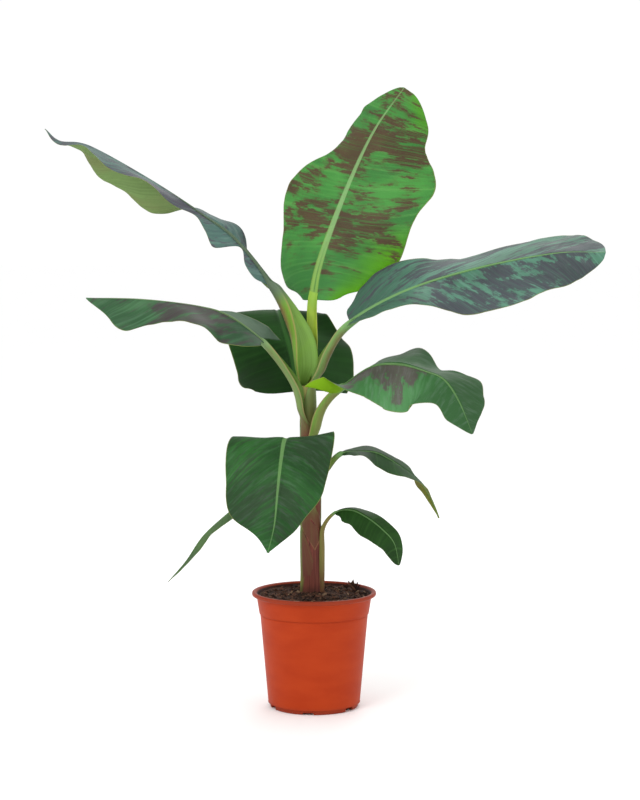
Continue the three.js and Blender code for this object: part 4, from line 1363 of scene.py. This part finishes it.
def soil_finish():
    """Dark crumbs with light faces, and damp clouds over them."""
    finish = Finish("moist_peat", Specular_IOR_Level=0.2)
    x, y, z = finish.in_space()
    crumbs = finish.noise(x * 420, y * 420, z * 420, detail=4, roughness=0.65)
    spread = finish.noise(x * 60, y * 60, z * 60, detail=2)
    colour = finish.mix(crumbs.step(0.35, 0.68), PEAT["dark"], PEAT["light"])
    colour = finish.mix(spread.step(0.5, 0.7) * 0.5, colour, PEAT["damp"])
    finish.surface(colour, 0.8 + 0.18 * crumbs, crumbs, 0.0022)
    return finish


def bark_finish():
    """Brown by each bit's own tone, a few of them bare wood, with a dark grain."""
    finish = Finish("bark", Specular_IOR_Level=0.2)
    x, y, z = finish.in_space()
    tone = finish.attribute("tone")
    grain = finish.noise(x * 900, y * 300, z * 900, detail=3)
    colour = finish.mix(tone.step(0.2, 0.9), BARK["dark"], BARK["light"])
    colour = finish.mix(tone.step(0.93, 0.95) * 0.7, colour, BARK["wood"])
    colour = finish.mix(grain.step(0.4, 0.7) * 0.5, colour, PEAT["dark"])
    finish.surface(colour, 0.75 + 0.2 * grain, grain, 0.0008)
    return finish


soil_finish().dress(potting_soil)
bark_finish().dress(bark_bits)
print("soil and bark finished")

# %% [markdown]
# ## The pot's finish
#
# The pot is satin plastic: one orange-red with the faint orange-peel of its mould, dusted at its foot and
# smeared with soil inside its collar, where the dark brown is also painted shade on the inner wall. One flat
# colour would look like a toy, and an image wrapped round the
# pot would show where it meets itself. So all of it is noise in space, which has no seams, and the dust and
# the smear are placed by height and by distance from the axis.

# %% Finish of the pot
COLLAR_FLARE = (POT["collar_radius"] - POT["step_radius"]) / (POT["height"] - POT["step_height"])
PLASTIC = dict(orange=(160, 50, 14), light_orange=(168, 56, 18), scuff=(186, 84, 52), dust=(116, 50, 36),
               smear_and_shade=(50, 28, 22))


def pot_finish():
    """Orange with flow marks and scuffs, dust at the foot and lip, and inside the collar soil smear with
    painted shade.
    """
    finish = Finish("orange_plastic", IOR=1.46, Specular_IOR_Level=0.12)
    x, y, z = finish.in_space()
    radial = (x * x + y * y) ** 0.5
    peel = finish.noise(x * 900, y * 900, z * 900, detail=2)
    flow = finish.noise(x * 14, y * 14, z * 40, detail=3)
    scuffs = finish.noise(x * 240, y * 240, z * 60, detail=4, roughness=0.7)
    colour = finish.mix(flow.step(0.3, 0.7), PLASTIC["orange"], PLASTIC["light_orange"])
    colour = finish.mix(scuffs.step(0.62, 0.78) * 0.12, colour, PLASTIC["scuff"])
    dust = 1 - z.step(0.0, 0.014) + 0.9 * z.step(0.187, 0.19)
    colour = finish.mix(dust * (0.35 + 0.5 * scuffs), colour, PLASTIC["dust"])
    collar = POT["step_radius"] * MM + COLLAR_FLARE * (z - POT["step_height"] * MM)
    # the smear is soil on the inner wall and also painted shade, darkening the inside of the collar as if out
    # of the light
    smear_and_shade = (1 - (radial - collar).step(-0.0017, -0.0008)) * z.step(0.165, 0.17)
    colour = finish.mix(smear_and_shade * (0.7 + 0.5 * scuffs), colour, PLASTIC["smear_and_shade"])
    roughness = 0.42 + 0.12 * peel + 0.14 * scuffs.step(0.5, 0.8)
    finish.surface(colour, roughness, peel + 0.4 * scuffs, 0.0002, 0.4)
    return finish


pot_finish().dress(nursery_pot)
print("pot finished")

# %% [markdown]
# ## The floor
#
# The plant stands on a plain pale floor that runs on without a visible end. A studio would use a curved
# backdrop. From this low a view a very large flat slab looks the same and is the simplest thing to make.

# %% Floor
FLOOR_HALF = 60000.0  # mm, half its side
FLOOR_UNDERSIDE = -20.0  # mm
FLOOR_WHITES = (252, 252, 252), (254, 254, 254)


def floor_piece():
    """A thin slab under the pot, its top at zero height."""
    a = FLOOR_HALF * np.array([(-1, -1), (1, -1), (1, 1), (-1, 1)])
    points = np.concatenate([np.c_[a, np.zeros(4)], np.c_[a, np.full(4, FLOOR_UNDERSIDE)]])
    quads = [(0, 1, 2, 3), (7, 6, 5, 4), (0, 4, 5, 1), (1, 5, 6, 2), (2, 6, 7, 3), (3, 7, 4, 0)]
    piece = put_mesh("pale_floor", points, quads)
    piece.data.polygons.foreach_set("use_smooth", np.zeros(len(quads), bool))
    return piece


def floor_finish():
    """White paint with a hardly visible cloudiness."""
    finish = Finish("pale_paint", Roughness=0.7)
    x, y, _ = finish.in_space()
    finish.link("Base Color", finish.mix(finish.noise(x * 3, y * 3), *FLOOR_WHITES))
    return finish


floor_finish().dress(floor_piece())
print("floor laid")

# %% [markdown]
# ## Light
#
# The light is that of a bright room: soft, a little stronger from the upper left. An image of a room could
# give it, but three large round lamps and a near-white surround throw the same soft shadows, and each one
# can be moved on its own: the key from the left in front, a weak fill from the right, and one from behind.

# %% Lamps and surround
def lamp(name, place, target, width, watts):
    """A round lamp of that width at a place, turned towards a target. Its light leaves along its own
    downward axis, so the pitch is the angle between straight down and the aim."""
    light = bpy.data.lights.new(name, "AREA")
    light.shape, light.size, light.energy = "DISK", width, watts
    holder = bpy.data.objects.new(name, light)
    holder.location = place
    aim = unit(np.array(target) - np.array(place, float))
    pitch, heading = math.acos(-aim[2]), math.atan2(-aim[0], aim[1])
    holder.rotation_euler = (pitch, 0, heading)
    bpy.context.scene.collection.objects.link(holder)


lamp("key_lamp", (-1.6, -2.4, 2.6), (0, 0, 0.6), width=1.6, watts=46)
lamp("fill_lamp", (2.4, -2.0, 1.5), (0, 0, 0.5), width=1.8, watts=10)
lamp("back_lamp", (0.6, 2.6, 2.4), (0, 0, 0.6), width=1.6, watts=20)

SURROUND = 1.02  # strength of the white all round
scene = bpy.context.scene
world = bpy.data.worlds.new("surround")
scene.world = world
world.use_nodes = True
background = world.node_tree.nodes["Background"]
background.inputs["Color"].default_value = (1, 1, 1, 1)
background.inputs["Strength"].default_value = SURROUND
scene.view_settings.view_transform = "Standard"

# %% [markdown]
# ## Camera
#
# A long lens from over three metres away keeps the leaves that come forward from looking too large. The
# camera stands in front at about the height of the upper leaves and looks slightly down, so the rim of the
# pot shows as a narrow ellipse.

# %% Camera
CAMERA_PLACE = (0.010, -3.306, 0.786)  # metres from the middle of the pot's underside
CAMERA_DOWN = 4.6  # degrees
LENS, SENSOR = 88.9, 36.0
camera_data = bpy.data.cameras.new("camera")
camera_data.lens, camera_data.sensor_width = LENS, SENSOR
camera = bpy.data.objects.new("camera", camera_data)
camera.location = CAMERA_PLACE
camera.rotation_euler = (math.radians(90 - CAMERA_DOWN), 0, 0)
scene.collection.objects.link(camera)
scene.camera = camera
print("camera at", CAMERA_PLACE)

# %% [markdown]
